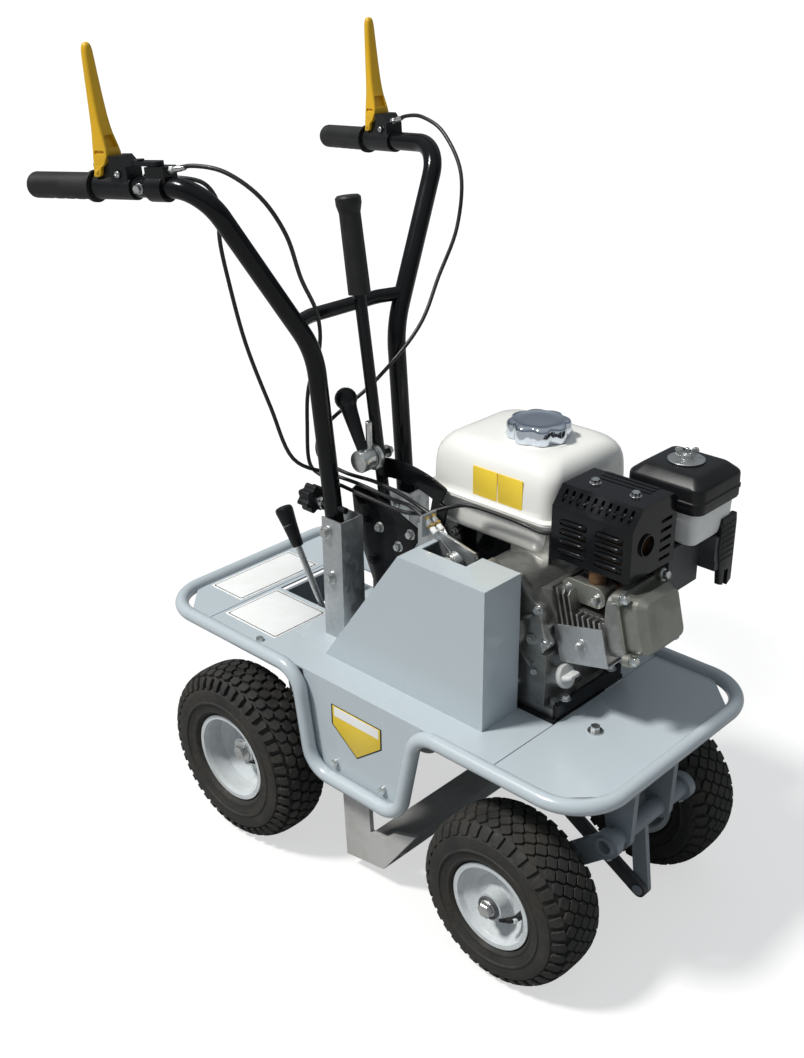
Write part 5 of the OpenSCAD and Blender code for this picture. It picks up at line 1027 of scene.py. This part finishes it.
    def oil_cap(self):
        bm = bmesh.new()
        m = Matrix.Rotation(math.radians(70), 4, "Y")
        m.translation = at(-46, -34, 398)
        turned(bm, m, [(8.9, 3), (8.9, 20.3), (16.4, 20.4), (17.2, 21.2), (17.2, 26.6), (16.0, 28.2),
                       (11, 28.8), (2, 29.0)], 40)
        grip = ((28.0, 14.6, 4.6), (32.0, 14.2, 4.0), (37.0, 13.2, 3.4), (40.4, 11.6, 2.8), (42.2, 9.0, 1.8))
        loft(bm, [[local(m, x, y, z) for x, y in rounded(thick * 2, half * 2, thick * 0.9, 4)]
                  for z, half, thick in grip])
        new_piece("oil_cap_body", bm, "grey_plastic", "oil_cap", replaces=("oil_cap",))

    def casting(self):
        """The port boss, the first fins and the bolted, ribbed rim of the crankcase."""
        cast, flange, nuts = bmesh.new(), bmesh.new(), bmesh.new()
        plate(cast, upright(-19.5, 27, 526), rounded(62, 30, 14.8, 8), 0, 30, 1.5)
        plate(flange, upright(-19.5, -3, 526.5), rounded(72, 31, 15.3, 8), 0, 5.6, 0.8)
        for x in (-44, 5):
            bolt(nuts, at(x, -8.6, 526.5), RIGHT, 11.4, 8.0, 17.0, 1.4)
        m = cylinder_frame()
        for i in range(4):
            x = 89.4 + i * 9
            top = 54 - i * 1.5
            fin = ((-56, 20), (-53, 20), (6, 20), (6, top), (-50, top), (-56, top - 6))
            loft(cast, [[local(m, x + dx, y, z) for y, z in fin] for dx in (0.0, 2.4)])
        rim = []
        for a in turn(180):
            near = min(abs((a - math.radians(b) + math.pi) % (2 * math.pi) - math.pi) for b in self.bosses)
            rim.append(polar(85.5 + 9.5 * math.exp(-(near / 0.105) ** 2), a))
        plate(cast, upright(CRANK_X, -45.5, CRANK_Z), rim, -5.5, 5.2, 1.0)
        for b in self.bosses[:4]:
            bolt(nuts, self.round_crank(87.5, math.radians(b), -50.6), RIGHT, 9.8, 5.4, 13.5, 0.9)
        for b in (-48, -17, 16):
            a = math.radians(b)
            rib = [self.round_crank(r, a, y) for r, y in ((80, 60), (80, -45), (93, -45), (89, -20), (86, 30))]
            side = Vector((-math.sin(a), 0, math.cos(a))) * 0.0022
            loft(cast, [[p - side for p in rib], [p + side for p in rib]])
        new_piece("engine_castings", cast, "aluminium", "chassis")
        new_piece("exhaust_flange", flange, "valve_aluminium", "chassis")
        new_piece("casting_bolts", nuts, "zinc", "chassis")

    def round_crank(self, r, a, y):
        dx, dz = polar(r, a)
        return at(CRANK_X + dx, y, CRANK_Z + dz)


class SODCUTTER_OT_cable_fittings(bpy.types.Operator):
    """Adds the nuts, sleeves and bare wires where the clutch cables reach the idlers"""
    bl_idname = "sodcutter.cable_fittings"
    bl_label = "Cable fittings"

    def execute(self, context):
        nuts, sleeves, wires = bmesh.new(), bmesh.new(), bmesh.new()
        for _, word in SIDES:
            x, y, z = CABLE_ROUTES[word][-1]
            start = at(x, y, z)
            along = (at(IDLER_X, y, IDLER_Z) - start).normalized()
            bolt(nuts, start + along * 0.0005, along, 11.4, 6.4)
            bolt(nuts, start + along * 0.0150, along, 11.0, 4.0)
            turned(sleeves, axis_frame(start + along * 0.0070, along),
                   [(4.4, 0), (4.9, 0.6), (4.9, 7.4), (4.4, 8.0)], 24)
            turned(sleeves, axis_frame(start + along * 0.0194, along),
                   [(4.4, 0), (4.6, 0.6), (4.6, 9.0), (3.6, 10.4), (1.4, 10.6)], 24)
            sweep(wires, [start + along * d * MM for d in (27, 40, 55, 68)], 0.0009, 10)
        new_piece("adjuster_nuts", nuts, "brass", "chassis")
        new_piece("adjuster_sleeves", sleeves, "white_plastic", "chassis")
        new_piece("clutch_inner_wires", wires, "zinc", "chassis")
        return {"FINISHED"}


class SODCUTTER_OT_depth_fittings(bpy.types.Operator):
    """Adds the tall cheek beside the depth lever with its bolts, and the wound idler springs"""
    bl_idname = "sodcutter.depth_fittings"
    bl_label = "Depth fittings"

    cheek = ((-398, 344), (-398, 425), (-418, 470), (-436, 528), (-440, 566), (-432, 574), (-398, 574),
             (-366, 564), (-330, 549), (-302, 539), (-298, 530), (-316, 500), (-322, 470), (-322, 344))

    def execute(self, context):
        bm = bmesh.new()
        plate(bm, upright(0, -28.4, 0), self.cheek, 0, 4.2, 0.8)
        new_piece("depth_cheek", bm, "black_paint", "chassis")
        bm = bmesh.new()
        for x, z in ((-341, 500), (-380, 520), (-316, 528)):
            bolt(bm, at(x, -32.4, z), RIGHT, 11.4, 6.4, 17.0, 1.2)
        new_piece("depth_cheek_bolts", bm, "zinc", "chassis")
        bm = bmesh.new()
        per_turn = 20
        for low, high, turns, r in ((-84.0, -70.0, 4.5, 14.4), (-110.4, -100.6, 3.0, 9.6)):
            steps = int(turns * per_turn)
            path = []
            for k in range(steps + 1):
                dx, dz = polar(r, 2 * math.pi * k / per_turn)
                path.append(at(IDLER_X + dx, low + (high - low) * k / steps, IDLER_Z + dz))
            sweep(bm, path, 0.0014, 8)
        new_piece("idler_coils", bm, "zinc", "chassis", replaces=("idler_springs",))
        return {"FINISHED"}


class SODCUTTER_OT_plates(bpy.types.Operator):
    """Adds the blank plates on the deck, the skirt and the tank"""
    bl_idname = "sodcutter.plates"
    bl_label = "Blank plates"

    # The shield on the skirt, about its middle
    shield_x, shield_z = -278, 276
    shield = ((-52, 27), (52, 27), (52, -8), (0, -48), (-52, -8))

    def execute(self, context):
        deck = Matrix.Translation(at(0, 0, 340))
        skirt = upright(0, -192.9, 0)
        tank = upright(0, 10.0, 0)
        white, dark, yellow = bmesh.new(), bmesh.new(), bmesh.new()
        for x, y, w, h in ((-546, -108, 122, 112), (-660, -30, 78, 176)):
            for bm, inset, high in ((white, 0, 0.25), (dark, 3.5, 0.40), (white, 5.0, 0.55)):
                sheet = rounded(w - inset * 2, h - inset * 2, 3, 3)
                plate(bm, deck, [(x + u, y + v) for u, v in sheet], 0.0, high, 0.1)
        for bm, share, high in ((dark, 1.0, 0.25), (yellow, 0.95, 0.40)):
            plate(bm, skirt, [(self.shield_x + x * share, self.shield_z + z * share) for x, z in self.shield],
                  0.0, high, 0.1)
        plate(white, skirt, [(-324, 300), (-232, 300), (-232, 284), (-324, 284)], 0.0, 0.55, 0.1)
        for x in (-211, -165):
            plate(yellow, tank, [(x + u, 627 + v) for u, v in rounded(44.5, 44, 1.5, 3)], -1.0, 0.3, 0.1)
        new_piece("blank_white_plates", white, "white_plastic", "chassis")
        new_piece("blank_plate_borders", dark, "black_plastic", "chassis")
        new_piece("blank_yellow_plates", yellow, "plate_yellow", "chassis")
        return {"FINISHED"}


class SODCUTTER_OT_wheel_fittings(bpy.types.Operator):
    """Adds the hub bolts and tyre valves"""
    bl_idname = "sodcutter.wheel_fittings"
    bl_label = "Wheel fittings"

    def execute(self, context):
        bright, dark = bmesh.new(), bmesh.new()
        for side, _ in SIDES:
            turned(dark, axis_frame(at(0, side * 217.8, 130), (0, side, 0)),
                   [(11, 0), (17.2, 0.2), (17.3, 2.2), (16.4, 2.9), (12, 3.0)], 40)
            bolt(bright, at(0, side * 220.4, 130), (0, side, 0), 20.4, 8.6, 25.0, 1.2)
        new_piece("hub_bolts", bright, "zinc", "front_carrier")
        new_piece("hub_rings", dark, "dark_cast", "front_carrier")
        for side, word in SIDES:
            self.valve("valve_front_" + word, "front_wheel_" + word, FRONT_WHEEL, side, 42, 22)
            self.valve("valve_rear_" + word, "rear_axle", REAR_WHEEL, side, 46.9, -8)
        return {"FINISHED"}

    def valve(self, name, body, wheel, side, r, web):
        """A rubber valve at a radius on the rim's web, bent inwards, with its cap."""
        x, y, z = wheel
        bend = ((0, -1), (0, 3), (0, 10), (-1, 17), (-4, 23), (-8, 27))
        path = [at(x + r + dx, side * (y + web + dy), z) for dx, dy in bend]
        bm = bmesh.new()
        sweep(bm, smooth_path(path, 4), lambda t: 0.0058 - 0.0016 * t, 16)
        new_piece(name, bm, "rubber_black", body)
        bm = bmesh.new()
        along = (path[-1] - path[-2]).normalized()
        turned(bm, axis_frame(path[-1] - along * 0.002, along),
               [(3.2, 0), (3.4, 1), (3.4, 6), (2.6, 9), (2.4, 12), (1.6, 12.6)], 20)
        new_piece(name + "_cap", bm, "black_plastic", body)


class SODCUTTER_OT_stage(bpy.types.Operator):
    """Sets the floor, the light and the camera"""
    bl_idname = "sodcutter.stage"
    bl_label = "Stage"

    # The floor's half width in metres, and how much white it adds to what the camera sees
    floor_half, floor_glow = 60, 0.60
    sky_strength, sun_strength, sun_spread = 0.42, 3.4, 9
    sun_from = (-0.30, -0.47, 0.83)
    # The camera's place in millimetres from the front axle, its angles in degrees and its lens in millimetres
    camera_place = (885.6, -1304.6, 1366.1)
    camera_angles = (43.80, 25.35, -0.66)
    camera_lens = 44.57

    def execute(self, context):
        scene = context.scene
        scene.view_settings.view_transform = "Standard"
        self.make_floor(scene)
        self.make_sky(scene)
        self.make_sun(scene)
        self.make_camera(scene)
        return {"FINISHED"}

    def make_floor(self, scene):
        mesh = bpy.data.meshes.new("floor")
        far = self.floor_half
        mesh.from_pydata([(-far, -far, 0), (far, -far, 0), (far, far, 0), (-far, far, 0)], [], [(0, 1, 2, 3)])
        floor = bpy.data.objects.new("floor", mesh)
        scene.collection.objects.link(floor)
        material = bpy.data.materials.new("pale_floor")
        material.use_nodes = True
        tree = material.node_tree
        tone = ramp(tree, noise(tree, 0.8, 2.0), (0.37, 0.37, 0.37, 1), (0.39, 0.39, 0.39, 1))
        glow = times(tree, add(tree, "LightPath").outputs["Is Camera Ray"], self.floor_glow)
        feed(tree, tree.nodes["Principled BSDF"], {
            "Base Color": tone, "Roughness": 1.0, "Specular IOR Level": 0.0, "Emission Color": WHITE,
            "Emission Strength": glow})
        mesh.materials.append(material)

    def make_sky(self, scene):
        """A soft sky that lights the machine, while the camera sees plain white."""
        world = bpy.data.worlds.new("studio")
        scene.world = world
        world.use_nodes = True
        tree = world.node_tree
        height = add(tree, "SeparateXYZ", {0: add(tree, "TexCoord").outputs["Generated"]}).outputs["Z"]
        tone = ramp(tree, height, (0.24, 0.29, 0.36, 1), (0.90, 0.96, 1.0, 1), 0.85)
        sky = feed(tree, tree.nodes["Background"], {"Color": tone, "Strength": self.sky_strength})
        paper = add(tree, "Background", {"Color": WHITE, "Strength": 1.0})
        seen = add(tree, "MixShader", {0: add(tree, "LightPath").outputs["Is Camera Ray"], 1: sky.outputs[0],
                                       2: paper.outputs[0]})
        feed(tree, tree.nodes["World Output"], {"Surface": seen.outputs[0]})

    def make_sun(self, scene):
        lamp = bpy.data.lights.new("key", "SUN")
        lamp.energy = self.sun_strength
        lamp.angle = math.radians(self.sun_spread)
        lamp.color = (1.0, 0.985, 0.96)
        key = bpy.data.objects.new("key", lamp)
        scene.collection.objects.link(key)
        key.rotation_euler = Vector(self.sun_from).to_track_quat("Z", "Y").to_euler()

    def make_camera(self, scene):
        azimuth, elevation, roll = (math.radians(angle) for angle in self.camera_angles)
        level = math.cos(elevation)
        back = Vector((math.sin(azimuth) * level, -math.cos(azimuth) * level, math.sin(elevation)))
        right = Vector((math.cos(azimuth), math.sin(azimuth), 0))
        up = back.cross(right)
        tilted_right = math.cos(roll) * right + math.sin(roll) * up
        tilted_up = math.cos(roll) * up - math.sin(roll) * right
        lens = bpy.data.cameras.new("camera")
        lens.sensor_fit = "AUTO"
        lens.sensor_width = 36.0
        lens.lens = self.camera_lens
        lens.clip_end = 200
        camera = bpy.data.objects.new("camera", lens)
        m = Matrix((tilted_right, tilted_up, back)).transposed().to_4x4()
        m.translation = at(*self.camera_place)
        camera.matrix_world = m
        scene.collection.objects.link(camera)
        scene.camera = camera


class SODCUTTER_PT_panel(bpy.types.Panel):
    """Lists the steps that dress the sod cutter"""
    bl_label = "Sod cutter"
    bl_idname = "SODCUTTER_PT_panel"
    bl_space_type = "VIEW_3D"
    bl_region_type = "UI"
    bl_category = "Sod cutter"

    def draw(self, context):
        for step in STEPS:
            self.layout.operator(step.bl_idname)
        for holder in (context.scene.sod_colours, context.scene.sod_sizes):
            for name in holder.__annotations__:
                self.layout.prop(holder, name)


STEPS = (SODCUTTER_OT_finishes, SODCUTTER_OT_tyres, SODCUTTER_OT_cables, SODCUTTER_OT_levers,
         SODCUTTER_OT_handle_fittings, SODCUTTER_OT_knobs, SODCUTTER_OT_tank, SODCUTTER_OT_engine_fittings,
         SODCUTTER_OT_cable_fittings, SODCUTTER_OT_depth_fittings, SODCUTTER_OT_plates,
         SODCUTTER_OT_wheel_fittings, SODCUTTER_OT_stage)
CLASSES = (SodCutterColours, SodCutterSizes, *STEPS, SODCUTTER_PT_panel)


def register():
    for cls in CLASSES:
        bpy.utils.register_class(cls)
    bpy.types.Scene.sod_colours = PointerProperty(type=SodCutterColours)
    bpy.types.Scene.sod_sizes = PointerProperty(type=SodCutterSizes)


def unregister():
    del bpy.types.Scene.sod_colours
    del bpy.types.Scene.sod_sizes
    for cls in reversed(CLASSES):
        bpy.utils.unregister_class(cls)


def main():
    register()
    for step in STEPS:
        group, name = step.bl_idname.split(".")
        getattr(getattr(bpy.ops, group), name)()
    bpy.context.view_layer.update()


if __name__ == "__main__":
    main()
